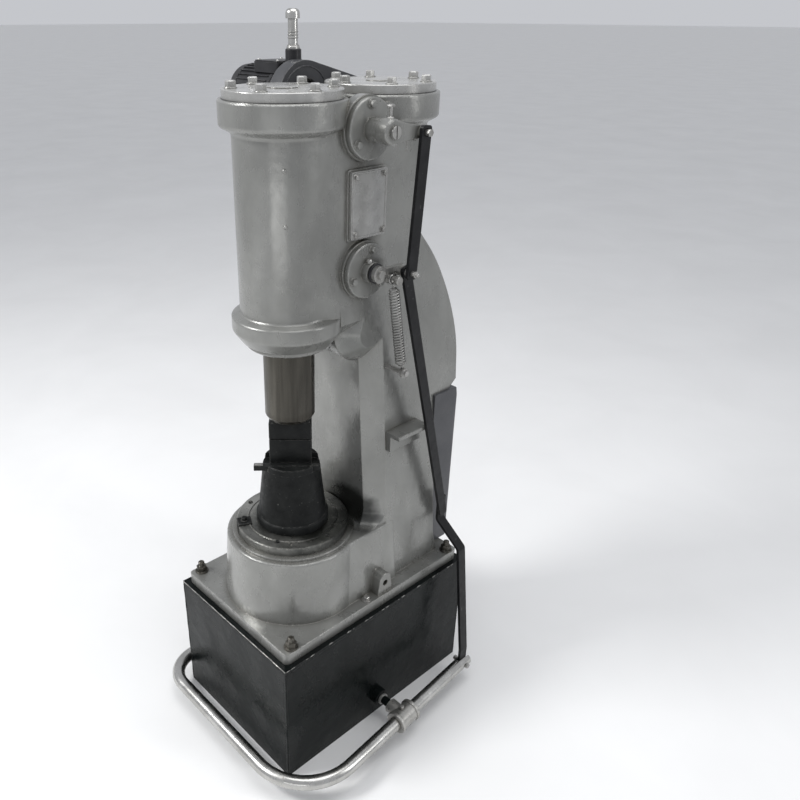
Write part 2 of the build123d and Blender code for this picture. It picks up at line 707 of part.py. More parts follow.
# Valve flanges and cover plate on the right side.
with BuildPart() as upper_valve_flange:
    with BuildSketch(Plane.YZ.offset(PAD_X)):
        with Locations((VALVE_Y, UPPER_VALVE_Z)):
            Circle(VALVE_FLANGE_R)
    extrude(amount=FLANGE_T)
    chamfer(upper_valve_flange.edges().group_by(Axis.X)[-1], COVER_EDGE)
    with BuildSketch(Plane.YZ.offset(FLANGE_X)):
        with Locations((VALVE_Y, UPPER_VALVE_Z)):
            Circle(HUB_R)
    extrude(amount=UPPER_HUB_X - FLANGE_X)
    with BuildSketch(Plane.YZ.offset(PAD_X)):
        with Locations((VALVE_Y, UPPER_VALVE_Z)):
            Circle(SPINDLE_R + SPINDLE_FIT)
    extrude(amount=UPPER_HUB_X - PAD_X, mode=Mode.SUBTRACT)
upper_valve_flange.part.label = "upper_valve_flange"
export_step(upper_valve_flange.part, "parts/upper_valve_flange.step")

with BuildPart() as lower_valve_flange:
    with BuildSketch(Plane.YZ.offset(PAD_X)):
        with Locations((VALVE_Y, LOWER_VALVE_Z)):
            Circle(VALVE_FLANGE_R)
    extrude(amount=FLANGE_T)
    chamfer(lower_valve_flange.edges().group_by(Axis.X)[-1], COVER_EDGE)
    with BuildSketch(Plane.YZ.offset(FLANGE_X)):
        with Locations((VALVE_Y, LOWER_VALVE_Z)):
            Circle(HUB_R)
    extrude(amount=LOWER_HUB_X - FLANGE_X)
    with BuildSketch(Plane.YZ.offset(PAD_X)):
        with Locations((VALVE_Y, LOWER_VALVE_Z)):
            Circle(SPINDLE_R + SPINDLE_FIT)
    extrude(amount=LOWER_HUB_X - PAD_X, mode=Mode.SUBTRACT)
lower_valve_flange.part.label = "lower_valve_flange"
export_step(lower_valve_flange.part, "parts/lower_valve_flange.step")

with BuildPart() as valve_cover_plate:
    with BuildSketch(Plane.YZ.offset(COVER_PAD_X)):
        with Locations((COVER_PLATE_Y, COVER_PLATE_Z)):
            RectangleRounded(COVER_PLATE_W, COVER_PLATE_H, COVER_PAD_RIM)
    extrude(amount=COVER_PLATE_T)
valve_cover_plate.part.label = "valve_cover_plate"
export_step(valve_cover_plate.part, "parts/valve_cover_plate.step")

# Stud that holds the foot of the return spring.
with BuildPart() as spring_anchor:
    with Locations(Location((BODY_R, ANCHOR_Y, ANCHOR_Z), (0, 90, 0))):
        Cylinder(
            ANCHOR_R,
            SPRING_X - BODY_R + ANCHOR_HEAD_T,
            align=(Align.CENTER, Align.CENTER, Align.MIN),
        )
    with Locations(Location((SPRING_X + SPRING_WIRE_R + 1.0, ANCHOR_Y, ANCHOR_Z), (0, 90, 0))):
        Cylinder(
            ANCHOR_HEAD_R,
            ANCHOR_HEAD_T,
            align=(Align.CENTER, Align.CENTER, Align.MIN),
        )
    add(main_casting.part, mode=Mode.SUBTRACT)
spring_anchor.part.label = "spring_anchor"
export_step(spring_anchor.part, "parts/spring_anchor.step")

# Side ledge bracket.
with BuildPart() as side_ledge:
    with Locations((LEDGE_X, LEDGE_Y, LEDGE_Z)):
        Box(LEDGE_OUT, LEDGE_L, LEDGE_T, align=(Align.MIN, Align.MIN, Align.MAX))
        Box(LEDGE_RIB_OUT, LEDGE_L, LEDGE_RIB_H, align=(Align.MIN, Align.MIN, Align.MAX))
    add(main_casting.part, mode=Mode.SUBTRACT)
side_ledge.part.label = "side_ledge"
export_step(side_ledge.part, "parts/side_ledge.step")

# Upper valve: slotted spindle, tapering lever and its pivot pin.
with BuildPart() as upper_valve_spindle:
    with Locations(Location((PAD_X - SPINDLE_DEPTH, VALVE_Y, UPPER_VALVE_Z), (0, 90, 0))):
        Cylinder(
            SPINDLE_R,
            SPINDLE_DEPTH + LONG_BAR_OUT_X - PAD_X,
            align=(Align.CENTER, Align.CENTER, Align.MIN),
        )
    with Locations(Location((LONG_BAR_OUT_X, VALVE_Y, UPPER_VALVE_Z), (0, 90, 0))):
        Cylinder(
            SPINDLE_HEAD_R,
            SPINDLE_HEAD_T,
            align=(Align.CENTER, Align.CENTER, Align.MIN),
        )
    with Locations((LONG_BAR_OUT_X + SPINDLE_HEAD_T, VALVE_Y, UPPER_VALVE_Z)):
        Box(SPINDLE_HEAD_T, SPINDLE_SLOT, 3 * SPINDLE_HEAD_R, mode=Mode.SUBTRACT)
upper_valve_spindle.part.label = "upper_valve_spindle"
export_step(upper_valve_spindle.part, "parts/upper_valve_spindle.step")

with BuildPart() as upper_valve_lever:
    with BuildSketch(Plane.YZ.offset(UPPER_HUB_X + LEVER_SPACE)):
        with Locations((VALVE_Y, UPPER_VALVE_Z)):
            Circle(UPPER_LEVER_R)
    extrude(amount=LONG_BAR_OUT_X - UPPER_HUB_X - LEVER_SPACE)
    chamfer(upper_valve_lever.edges().group_by(Axis.X)[-1], 2 * COVER_EDGE)
    with BuildSketch(Plane.YZ.offset(LONG_BAR_IN_X)):
        with Locations((VALVE_Y, UPPER_VALVE_Z)):
            Circle(UPPER_LEVER_R - 2 * COVER_EDGE)
        with Locations((UPPER_PIN_Y, UPPER_PIN_Z)):
            Circle(UPPER_LEVER_END)
        with Locations((UPPER_PIN_Y + UPPER_LEVER_END, UPPER_PIN_Z)):
            Circle(UPPER_LEVER_NOSE)
        make_hull()
    extrude(amount=BAR_T)
    with Locations(Location((LONG_BAR_OUT_X, UPPER_PIN_Y, UPPER_PIN_Z), (0, 90, 0))):
        Cylinder(
            PIN_BOSS_R,
            BAR_SPACE - BOSS_GAP,
            align=(Align.CENTER, Align.CENTER, Align.MIN),
        )
    with Locations(Location((UPPER_HUB_X, VALVE_Y, UPPER_VALVE_Z), (0, 90, 0))):
        Cylinder(
            SPINDLE_R,
            LONG_BAR_OUT_X - UPPER_HUB_X,
            align=(Align.CENTER, Align.CENTER, Align.MIN),
            mode=Mode.SUBTRACT,
        )
    with Locations(Location((LONG_BAR_IN_X, UPPER_PIN_Y, UPPER_PIN_Z), (0, 90, 0))):
        Cylinder(
            PIN_R,
            BAR_T + BAR_SPACE,
            align=(Align.CENTER, Align.CENTER, Align.MIN),
            mode=Mode.SUBTRACT,
        )
upper_valve_lever.part.label = "upper_valve_lever"
export_step(upper_valve_lever.part, "parts/upper_valve_lever.step")

with BuildPart() as upper_link_pin:
    with Locations(Location((LONG_BAR_IN_X - PIN_HEAD, UPPER_PIN_Y, UPPER_PIN_Z), (0, 90, 0))):
        Cylinder(
            PIN_R,
            UPPER_BAR_OUT_X - LONG_BAR_IN_X + 2 * PIN_HEAD,
            align=(Align.CENTER, Align.CENTER, Align.MIN),
        )
upper_link_pin.part.label = "upper_link_pin"
export_step(upper_link_pin.part, "parts/upper_link_pin.step")

# Lower valve: spindle, lever, spring pin and the shared link pin.
with BuildPart() as lower_valve_spindle:
    with Locations(Location((PAD_X - SPINDLE_DEPTH, VALVE_Y, LOWER_VALVE_Z), (0, 90, 0))):
        Cylinder(
            SPINDLE_R,
            SPINDLE_DEPTH + LOWER_ARM_OUT_X - PAD_X + SPINDLE_HEAD_T,
            align=(Align.CENTER, Align.CENTER, Align.MIN),
        )
lower_valve_spindle.part.label = "lower_valve_spindle"
export_step(lower_valve_spindle.part, "parts/lower_valve_spindle.step")

with BuildPart() as lower_valve_lever:
    with BuildSketch(Plane.YZ.offset(LOWER_HUB_X + LEVER_SPACE)):
        with Locations((VALVE_Y, LOWER_VALVE_Z)):
            Circle(LOWER_LEVER_R)
    extrude(amount=LOWER_ARM_OUT_X - LOWER_HUB_X - LEVER_SPACE)
    with BuildSketch(Plane.YZ.offset(LOWER_ARM_IN_X)):
        with Locations((VALVE_Y, LOWER_VALVE_Z)):
            Rectangle(
                LOWER_ARM_Y + LOWER_ARM_NOSE,
                LOWER_ARM_H,
                align=(Align.MIN, Align.CENTER),
            )
        with Locations((SPRING_TOP_Y, SPRING_TOP_Z)):
            Circle(SPRING_PIN_R + 3.0)
    extrude(amount=LOWER_ARM_T)
    with Locations(Location((LOWER_ARM_OUT_X, LOWER_PIN_Y, LOWER_PIN_Z), (0, 90, 0))):
        Cylinder(
            PIN_BOSS_R,
            LONG_BAR_IN_X - LOWER_ARM_OUT_X - BOSS_GAP,
            align=(Align.CENTER, Align.CENTER, Align.MIN),
        )
    with Locations(Location((LOWER_HUB_X, VALVE_Y, LOWER_VALVE_Z), (0, 90, 0))):
        Cylinder(
            SPINDLE_R,
            LOWER_ARM_OUT_X - LOWER_HUB_X,
            align=(Align.CENTER, Align.CENTER, Align.MIN),
            mode=Mode.SUBTRACT,
        )
    with Locations(Location((LOWER_ARM_IN_X, LOWER_PIN_Y, LOWER_PIN_Z), (0, 90, 0))):
        Cylinder(
            PIN_R,
            LONG_BAR_IN_X - LOWER_ARM_IN_X,
            align=(Align.CENTER, Align.CENTER, Align.MIN),
            mode=Mode.SUBTRACT,
        )
    with Locations(Location((LOWER_HUB_X, SPRING_TOP_Y, SPRING_TOP_Z), (0, 90, 0))):
        Cylinder(
            SPRING_PIN_R,
            LOWER_ARM_OUT_X - LOWER_HUB_X,
            align=(Align.CENTER, Align.CENTER, Align.MIN),
            mode=Mode.SUBTRACT,
        )
lower_valve_lever.part.label = "lower_valve_lever"
export_step(lower_valve_lever.part, "parts/lower_valve_lever.step")

with BuildPart() as lower_link_pin:
    with Locations(Location((LOWER_ARM_IN_X - PIN_HEAD, LOWER_PIN_Y, LOWER_PIN_Z), (0, 90, 0))):
        Cylinder(
            PIN_R,
            UPPER_BAR_OUT_X - LOWER_ARM_IN_X + 2 * PIN_HEAD,
            align=(Align.CENTER, Align.CENTER, Align.MIN),
        )
    with Locations(Location((LONG_BAR_OUT_X + BOSS_GAP, LOWER_PIN_Y, LOWER_PIN_Z), (0, 90, 0))):
        Cylinder(
            PIN_BOSS_R,
            BAR_SPACE - 2 * BOSS_GAP,
            align=(Align.CENTER, Align.CENTER, Align.MIN),
        )
lower_link_pin.part.label = "lower_link_pin"
export_step(lower_link_pin.part, "parts/lower_link_pin.step")

with BuildPart() as spring_pin:
    with Locations(Location((LOWER_HUB_X + LEVER_SPACE, SPRING_TOP_Y, SPRING_TOP_Z), (0, 90, 0))):
        Cylinder(
            SPRING_PIN_R,
            SPRING_PIN_OUT_X - LOWER_HUB_X - LEVER_SPACE,
            align=(Align.CENTER, Align.CENTER, Align.MIN),
        )
    fillet(spring_pin.edges().group_by(Axis.X)[-1], SPRING_PIN_EDGE)
    with Locations(Location((SPRING_PIN_OUT_X - SPRING_PIN_R, SPRING_TOP_Y, SPRING_TOP_Z), (90, 0, 0))):
        Cylinder(SPRING_PIN_HOLE_D / 2, 3 * SPRING_PIN_R, mode=Mode.SUBTRACT)
spring_pin.part.label = "spring_pin"
export_step(spring_pin.part, "parts/spring_pin.step")

# Return spring, drawn solid at its outer size, with an eye round each pin.
TOP_EYE_R = SPRING_PIN_R + HOOK_GAP + SPRING_WIRE_R
FOOT_EYE_R = ANCHOR_R + HOOK_GAP + SPRING_WIRE_R
SPRING_DY = ANCHOR_Y - SPRING_TOP_Y
SPRING_DZ = ANCHOR_Z - SPRING_TOP_Z
SPRING_L = hypot(SPRING_DY, SPRING_DZ)
SPRING_DOWN = Plane(
    origin=(SPRING_X, SPRING_TOP_Y, SPRING_TOP_Z),
    x_dir=(1, 0, 0),
    z_dir=(0, SPRING_DY, SPRING_DZ),
)
SPRING_START = TOP_EYE_R + HOOK_NECK
SPRING_END = SPRING_L - FOOT_EYE_R - HOOK_NECK
with BuildPart(SPRING_DOWN) as return_spring:
    with Locations((0, 0, TOP_EYE_R)):
        Cylinder(
            SPRING_NECK_R,
            SPRING_L - FOOT_EYE_R - TOP_EYE_R,
            align=(Align.CENTER, Align.CENTER, Align.MIN),
        )
    with Locations((0, 0, SPRING_START)):
        Cone(
            SPRING_NECK_R,
            SPRING_R,
            SPRING_CONE,
            align=(Align.CENTER, Align.CENTER, Align.MIN),
        )
    with Locations((0, 0, SPRING_START + SPRING_CONE)):
        Cylinder(
            SPRING_R,
            SPRING_END - SPRING_START - 2 * SPRING_CONE,
            align=(Align.CENTER, Align.CENTER, Align.MIN),
        )
    with Locations((0, 0, SPRING_END - SPRING_CONE)):
        Cone(
            SPRING_R,
            SPRING_NECK_R,
            SPRING_CONE,
            align=(Align.CENTER, Align.CENTER, Align.MIN),
        )
    with Locations(Location((0, 0, 0), (0, 90, 0))):
        Torus(TOP_EYE_R, SPRING_WIRE_R)
    with Locations(Location((0, 0, SPRING_L), (0, 90, 0))):
        Torus(FOOT_EYE_R, SPRING_WIRE_R)
return_spring.part.label = "return_spring"
export_step(return_spring.part, "parts/return_spring.step")

# Link bars.
UPPER_BAR_DY = UPPER_PIN_Y - LOWER_PIN_Y
UPPER_BAR_DZ = UPPER_PIN_Z - LOWER_PIN_Z
UPPER_BAR_TURN = degrees(atan2(UPPER_BAR_DZ, UPPER_BAR_DY))
with BuildPart() as upper_link_bar:
    with BuildSketch(Plane.YZ.offset(UPPER_BAR_IN_X)):
        with Locations(
            Location((LOWER_PIN_Y, LOWER_PIN_Z, 0), (0, 0, UPPER_BAR_TURN))
            * Location((hypot(UPPER_BAR_DY, UPPER_BAR_DZ) / 2, 0, 0))
        ):
            RectangleRounded(
                hypot(UPPER_BAR_DY, UPPER_BAR_DZ) + UPPER_BAR_W,
                UPPER_BAR_W,
                UPPER_BAR_W / 4,
            )
    extrude(amount=BAR_T)
    with Locations(Location((UPPER_BAR_IN_X, LOWER_PIN_Y, LOWER_PIN_Z), (0, 90, 0))):
        Cylinder(
            PIN_R + SPINDLE_FIT,
            BAR_T,
            align=(Align.CENTER, Align.CENTER, Align.MIN),
            mode=Mode.SUBTRACT,
        )
    with Locations(Location((UPPER_BAR_IN_X, UPPER_PIN_Y, UPPER_PIN_Z), (0, 90, 0))):
        Cylinder(
            PIN_R + PIN_PLAY,
            BAR_T,
            align=(Align.CENTER, Align.CENTER, Align.MIN),
            mode=Mode.SUBTRACT,
        )
upper_link_bar.part.label = "upper_link_bar"
export_step(upper_link_bar.part, "parts/upper_link_bar.step")

LONG_BAR_DY = KNEE_Y - LOWER_PIN_Y
LONG_BAR_DZ = KNEE_END_Z - LOWER_PIN_Z
LONG_BAR_TURN = degrees(atan2(LONG_BAR_DZ, LONG_BAR_DY))
with BuildPart() as long_link_bar:
    with BuildSketch(Plane.YZ.offset(LONG_BAR_IN_X)):
        with Locations(
            Location((LOWER_PIN_Y, LOWER_PIN_Z, 0), (0, 0, LONG_BAR_TURN))
            * Location((-LONG_BAR_W / 2, 0, 0))
        ):
            Rectangle(
                hypot(LONG_BAR_DY, LONG_BAR_DZ) + LONG_BAR_W / 2,
                LONG_BAR_W,
                align=(Align.MIN, Align.CENTER),
            )
    extrude(amount=BAR_T)
    fillet(long_link_bar.edges().filter_by(Axis.X), LONG_BAR_W / 4)
    with Locations(Location((LONG_BAR_IN_X, LOWER_PIN_Y, LOWER_PIN_Z), (0, 90, 0))):
        Cylinder(
            PIN_R + SPINDLE_FIT,
            BAR_T,
            align=(Align.CENTER, Align.CENTER, Align.MIN),
            mode=Mode.SUBTRACT,
        )
long_link_bar.part.label = "long_link_bar"
export_step(long_link_bar.part, "parts/long_link_bar.step")

KNEE_MID_X = LONG_BAR_IN_X - BAR_T / 2
with BuildPart() as cranked_link_bar:
    with BuildSketch(Plane.XZ.offset(-KNEE_Y)):
        with BuildLine():
            FilletPolyline(
                (KNEE_MID_X, KNEE_END_Z + KNEE_LAP),
                (KNEE_MID_X, KNEE_BEND_Z),
                (CRANK_OUT_X, CRANK_OUT_Z),
                (TREADLE_HEEL_X, HEEL_Z + HEEL_BAR_STRAIGHT),
                (TREADLE_HEEL_X, HEEL_Z - HEEL_BAR_FOOT),
                radius=BAR_BEND_R,
            )
        trace(line_width=BAR_T)
    extrude(amount=CRANKED_BAR_W / 2, both=True)
    with Locations(Location((TREADLE_HEEL_X, HEEL_PIN_Y, HEEL_Z), (0, 90, 0))):
        Cylinder(PIN_R + PIN_PLAY, 2 * BAR_T, mode=Mode.SUBTRACT)
cranked_link_bar.part.label = "cranked_link_bar"
export_step(cranked_link_bar.part, "parts/cranked_link_bar.step")

# Treadle loop, forked at the heel, with tee fitting, collar and heel pin.
TREADLE_SLOPE = (TREADLE_HEEL_X - TREADLE_CORNER_X) / (TREADLE_END_Y - TREADLE_FRONT_Y)
TEE_X = TREADLE_HEEL_X + (PIVOT_Y - TREADLE_END_Y) * TREADLE_SLOPE
TEE_TURN = -degrees(atan2(TREADLE_SLOPE, 1.0))
with BuildPart() as treadle_pipe:
    with BuildLine():
        FilletPolyline(
            (TREADLE_LEFT_X, TREADLE_LEFT_END_Y, TREADLE_Z),
            (TREADLE_LEFT_X, TREADLE_FRONT_Y, TREADLE_Z),
            (TREADLE_CORNER_X, TREADLE_FRONT_Y, TREADLE_Z),
            (TREADLE_HEEL_X, TREADLE_END_Y, TREADLE_Z),
            radius=[TREADLE_LEFT_BEND_R, TREADLE_RIGHT_BEND_R],
        )
    with BuildSketch(
        Plane(
            origin=(TREADLE_LEFT_X, TREADLE_LEFT_END_Y, TREADLE_Z),
            z_dir=(0, -1, 0),
        )
    ):
        Circle(TREADLE_R)
    sweep()
    with Locations((TREADLE_HEEL_X, TREADLE_END_Y + TREADLE_R, TREADLE_Z)):
        Box(
            BAR_T + 2 * HEEL_SLOT_SPACE,
            HEEL_SLOT_DEPTH + TREADLE_R,
            3 * TREADLE_R,
            align=(Align.CENTER, Align.MAX, Align.CENTER),
            mode=Mode.SUBTRACT,
        )
    with Locations(Location((TREADLE_HEEL_X, HEEL_PIN_Y, HEEL_Z), (0, 90, 0))):
        Cylinder(PIN_R, 3 * TREADLE_R, mode=Mode.SUBTRACT)
treadle_pipe.part.label = "treadle_pipe"
export_step(treadle_pipe.part, "parts/treadle_pipe.step")

with BuildPart() as heel_pin:
    with Locations(Location((TREADLE_HEEL_X, HEEL_PIN_Y, HEEL_Z), (0, 90, 0))):
        Cylinder(PIN_R, 2 * TREADLE_R + PIN_HEAD)
heel_pin.part.label = "heel_pin"
export_step(heel_pin.part, "parts/heel_pin.step")

with BuildPart() as treadle_tee_right:
    with Locations(Location((TEE_X, PIVOT_Y, PIVOT_Z), (0, 0, TEE_TURN)) * Location((0, 0, 0), (90, 0, 0))):
        Cylinder(TEE_R, TEE_LENGTH)
    with Locations(
        Location((TEE_X, PIVOT_Y, PIVOT_Z), (0, 0, TEE_TURN))
        * Location((0, (TEE_LENGTH - TEE_LIP_T) / 2, 0), (90, 0, 0)),
        Location((TEE_X, PIVOT_Y, PIVOT_Z), (0, 0, TEE_TURN))
        * Location((0, (TEE_LIP_T - TEE_LENGTH) / 2, 0), (90, 0, 0)),
    ):
        Cylinder(TEE_LIP_R, TEE_LIP_T)
    tee_lips = treadle_tee_right.edges().filter_by(
        lambda e: e.geom_type == GeomType.CIRCLE and e.radius > TEE_LIP_R - 0.1
    )
    chamfer(tee_lips, COVER_EDGE)
    with Locations(Location((TEE_X, PIVOT_Y, PIVOT_Z), (0, -90, 0))):
        Cylinder(TEE_BRANCH_R, TEE_BRANCH_L, align=(Align.CENTER, Align.CENTER, Align.MIN))
    add(treadle_pipe.part, mode=Mode.SUBTRACT)
    with Locations(Location((TEE_X - TREADLE_R, PIVOT_Y, PIVOT_Z), (0, -90, 0))):
        Cylinder(
            PIVOT_R + PIVOT_FIT,
            TEE_BRANCH_L,
            align=(Align.CENTER, Align.CENTER, Align.MIN),
            mode=Mode.SUBTRACT,
        )
treadle_tee_right.part.label = "treadle_tee_right"
export_step(treadle_tee_right.part, "parts/treadle_tee_right.step")

with BuildPart() as treadle_collar_left:
    with Locations(Location((TREADLE_LEFT_X, PIVOT_Y, PIVOT_Z), (90, 0, 0))):
        Cylinder(COLLAR_LEFT_R, COLLAR_LEFT_L)
    add(treadle_pipe.part, mode=Mode.SUBTRACT)
    with Locations(Location((TREADLE_LEFT_X, PIVOT_Y, PIVOT_Z), (0, 90, 0))):
        Cylinder(
            LEFT_PIVOT_R + PIVOT_FIT,
            COLLAR_LEFT_L,
            align=(Align.CENTER, Align.CENTER, Align.MIN),
            mode=Mode.SUBTRACT,
        )
treadle_collar_left.part.label = "treadle_collar_left"
export_step(treadle_collar_left.part, "parts/treadle_collar_left.step")

# Pivot stubs welded to the stand.
with BuildPart() as pivot_stub_right:
    with Locations(Location((STAND_HALF_W, PIVOT_Y, PIVOT_Z), (0, 90, 0))):
        Cylinder(
            PIVOT_R,
            TEE_X - TREADLE_R - PIVOT_END_SPACE - STAND_HALF_W,
            align=(Align.CENTER, Align.CENTER, Align.MIN),
        )
        Cylinder(
            STUB_FLANGE_R,
            STUB_FLANGE_T,
            align=(Align.CENTER, Align.CENTER, Align.MIN),
        )
pivot_stub_right.part.label = "pivot_stub_right"
export_step(pivot_stub_right.part, "parts/pivot_stub_right.step")

with BuildPart() as pivot_stub_left:
    with Locations(Location((-STAND_HALF_W, PIVOT_Y, PIVOT_Z), (0, -90, 0))):
        Cylinder(
            LEFT_PIVOT_R,
            -TREADLE_LEFT_X - TREADLE_R - STAND_HALF_W - BOSS_GAP,
            align=(Align.CENTER, Align.CENTER, Align.MIN),
        )
pivot_stub_left.part.label = "pivot_stub_left"
export_step(pivot_stub_left.part, "parts/pivot_stub_left.step")

# Stand: welded plates.
with BuildPart() as stand_top_plate:
    with Locations((0, STAND_MID_Y, PLATE_TOP_Z)):
        Box(
            2 * STAND_HALF_W,
            STAND_LENGTH,
            STAND_TOP_T,
            align=(Align.CENTER, Align.CENTER, Align.MIN),
        )
    for x in (-FOOT_HOLE_X, FOOT_HOLE_X):
        for y in (FOOT_HOLE_FRONT_Y, FOOT_HOLE_BACK_Y):
            with Locations((x, y, STAND_TOP_Z)):
                Cylinder(FOOT_HOLE_D / 2, 4 * STAND_TOP_T, mode=Mode.SUBTRACT)
stand_top_plate.part.label = "stand_top_plate"
export_step(stand_top_plate.part, "parts/stand_top_plate.step")

with BuildPart() as stand_bottom_plate:
    with Locations((0, STAND_MID_Y, 0)):
        Box(
            2 * STAND_HALF_W,
            STAND_LENGTH,
            STAND_WALL,
            align=(Align.CENTER, Align.CENTER, Align.MIN),
        )
stand_bottom_plate.part.label = "stand_bottom_plate"
export_step(stand_bottom_plate.part, "parts/stand_bottom_plate.step")

with BuildPart() as stand_left_plate:
    with Locations((-STAND_HALF_W, STAND_MID_Y, STAND_WALL)):
        Box(
            STAND_WALL,
            STAND_LENGTH,
            PLATE_TOP_Z - STAND_WALL,
            align=(Align.MIN, Align.CENTER, Align.MIN),
        )
stand_left_plate.part.label = "stand_left_plate"
export_step(stand_left_plate.part, "parts/stand_left_plate.step")

with BuildPart() as stand_right_plate:
    with Locations((STAND_HALF_W, STAND_MID_Y, STAND_WALL)):
        Box(
            STAND_WALL,
            STAND_LENGTH,
            PLATE_TOP_Z - STAND_WALL,
            align=(Align.MAX, Align.CENTER, Align.MIN),
        )
stand_right_plate.part.label = "stand_right_plate"
export_step(stand_right_plate.part, "parts/stand_right_plate.step")

with BuildPart() as stand_front_plate:
    with Locations((0, STAND_FRONT_Y, STAND_WALL)):
        Box(
            2 * (STAND_HALF_W - STAND_WALL),
            STAND_WALL,
            PLATE_TOP_Z - STAND_WALL,
            align=(Align.CENTER, Align.MIN, Align.MIN),
        )
stand_front_plate.part.label = "stand_front_plate"
export_step(stand_front_plate.part, "parts/stand_front_plate.step")

with BuildPart() as stand_back_plate:
    with Locations((0, STAND_BACK_Y, STAND_WALL)):
        Box(
            2 * (STAND_HALF_W - STAND_WALL),
            STAND_WALL,
            PLATE_TOP_Z - STAND_WALL,
            align=(Align.CENTER, Align.MAX, Align.MIN),
        )
stand_back_plate.part.label = "stand_back_plate"
export_step(stand_back_plate.part, "parts/stand_back_plate.step")

# Sheet cover on the back of the column.
with BuildPart() as rear_cover:
    with BuildSketch(Plane.YZ):
        with BuildLine():
            Polyline(
                (COLUMN_BACK_Y - 4.0, FOOT_TOP_Z),
                (REAR_COVER_BACK_Y, FOOT_TOP_Z),
                (REAR_COVER_BACK_Y, REAR_COVER_TOP_Z - 10.0),
                (
                    REAR_COVER_BACK_Y - REAR_COVER_SLOPE,
                    REAR_COVER_TOP_Z - 10.0 + REAR_COVER_SLOPE_H,
                ),
                (COLUMN_BACK_Y - 4.0, REAR_COVER_TOP_Z - 10.0 + REAR_COVER_SLOPE_H),
                close=True,
            )
        make_face()
    extrude(amount=REAR_COVER_HALF_W, both=True)
    fillet(rear_cover.edges().filter_by(Axis.Z).sort_by(Axis.Y)[-2:], REAR_COVER_EDGE_R)
    add(main_casting.part, mode=Mode.SUBTRACT)
rear_cover.part.label = "rear_cover"
export_step(rear_cover.part, "parts/rear_cover.step")

# Motor with its box, bracket and bright post on the left side.
with BuildPart() as motor_body:
    with Locations(Location((MOTOR_OUT_X, MOTOR_Y, MOTOR_Z), (0, 90, 0))):
        Cylinder(MOTOR_R, MOTOR_L, align=(Align.CENTER, Align.CENTER, Align.MIN))
    chamfer(motor_body.edges().filter_by(GeomType.CIRCLE), MOTOR_EDGE)
motor_body.part.label = "motor_body"
export_step(motor_body.part, "parts/motor_body.step")

with BuildPart() as terminal_box:
    with Locations((BOX_IN_X, MOTOR_Y, BOX_TOP_Z)):
        Box(BOX_L, BOX_W, BOX_H, align=(Align.MAX, Align.CENTER, Align.MAX))
    fillet(terminal_box.edges().filter_by(Axis.Z), BOX_EDGE_R)
    add(motor_body.part, mode=Mode.SUBTRACT)
terminal_box.part.label = "terminal_box"
export_step(terminal_box.part, "parts/terminal_box.step")

with BuildPart() as motor_bracket:
    with Locations((BRACKET_ROOT_X, MOTOR_Y, MOTOR_Z - MOTOR_R)):
        Box(
            BRACKET_ROOT_X - MOTOR_OUT_X,
            BRACKET_W,
            BRACKET_T,
            align=(Align.MAX, Align.CENTER, Align.MAX),
        )
    add(main_casting.part, mode=Mode.SUBTRACT)
motor_bracket.part.label = "motor_bracket"
export_step(motor_bracket.part, "parts/motor_bracket.step")

with BuildPart() as post_socket:
    with Locations((POST_X, POST_Y, BOX_TOP_Z)):
        Cylinder(SOCKET_R, SOCKET_H, align=(Align.CENTER, Align.CENTER, Align.MIN))
    chamfer(post_socket.edges().group_by(Axis.Z)[-1], DISC_EDGE)
post_socket.part.label = "post_socket"
export_step(post_socket.part, "parts/post_socket.step")

with BuildPart() as chrome_post:
    with Locations((POST_X, POST_Y, BOX_TOP_Z + SOCKET_H)):
        Cylinder(POST_R, POST_H, align=(Align.CENTER, Align.CENTER, Align.MIN))
    with Locations((POST_X, POST_Y, BOX_TOP_Z + SOCKET_H + POST_H)):
        Cylinder(
            POST_HEAD_R,
            POST_HEAD_H,
            align=(Align.CENTER, Align.CENTER, Align.MIN),
        )
    fillet(chrome_post.edges().group_by(Axis.Z)[-1], POST_HEAD_H / 2)
chrome_post.part.label = "chrome_post"
export_step(chrome_post.part, "parts/chrome_post.step")

# Belt drive: spoked motor pulley, flywheel, belt and sheet guard.
with BuildPart() as motor_pulley:
    with BuildSketch(Plane.YZ.offset(DRIVE_IN_X)):
        with Locations((MOTOR_Y, MOTOR_Z)):
            Circle(MOTOR_PULLEY_R)
            Circle(MOTOR_PULLEY_R - PULLEY_RIM, mode=Mode.SUBTRACT)
            Circle(PULLEY_HUB_R)
        with PolarLocations(0, 1):
            with Locations((MOTOR_Y, MOTOR_Z)):
                with PolarLocations((MOTOR_PULLEY_R + PULLEY_HUB_R - PULLEY_RIM) / 2, PULLEY_SPOKES, 90):
                    Rectangle(MOTOR_PULLEY_R - PULLEY_HUB_R, PULLEY_SPOKE_W)
    extrude(amount=-DRIVE_W)
    with Locations(Location((DRIVE_IN_X - DRIVE_W, MOTOR_Y, MOTOR_Z), (0, -90, 0))):
        Cylinder(
            MOTOR_SHAFT_R,
            DRIVE_IN_X - DRIVE_W - MOTOR_IN_X,
            align=(Align.CENTER, Align.CENTER, Align.MIN),
        )
motor_pulley.part.label = "motor_pulley"
export_step(motor_pulley.part, "parts/motor_pulley.step")

with BuildPart() as flywheel:
    with Locations(Location((DRIVE_IN_X, FLYWHEEL_Y, FLYWHEEL_Z), (0, -90, 0))):
        Cylinder(FLYWHEEL_R, DRIVE_W, align=(Align.CENTER, Align.CENTER, Align.MIN))
    with Locations(Location((FLYWHEEL_SHAFT_ROOT_X, FLYWHEEL_Y, FLYWHEEL_Z), (0, -90, 0))):
        Cylinder(
            FLYWHEEL_SHAFT_R,
            FLYWHEEL_SHAFT_ROOT_X - DRIVE_IN_X,
            align=(Align.CENTER, Align.CENTER, Align.MIN),
        )
    add(main_casting.part, mode=Mode.SUBTRACT)
flywheel.part.label = "flywheel"
export_step(flywheel.part, "parts/flywheel.step")

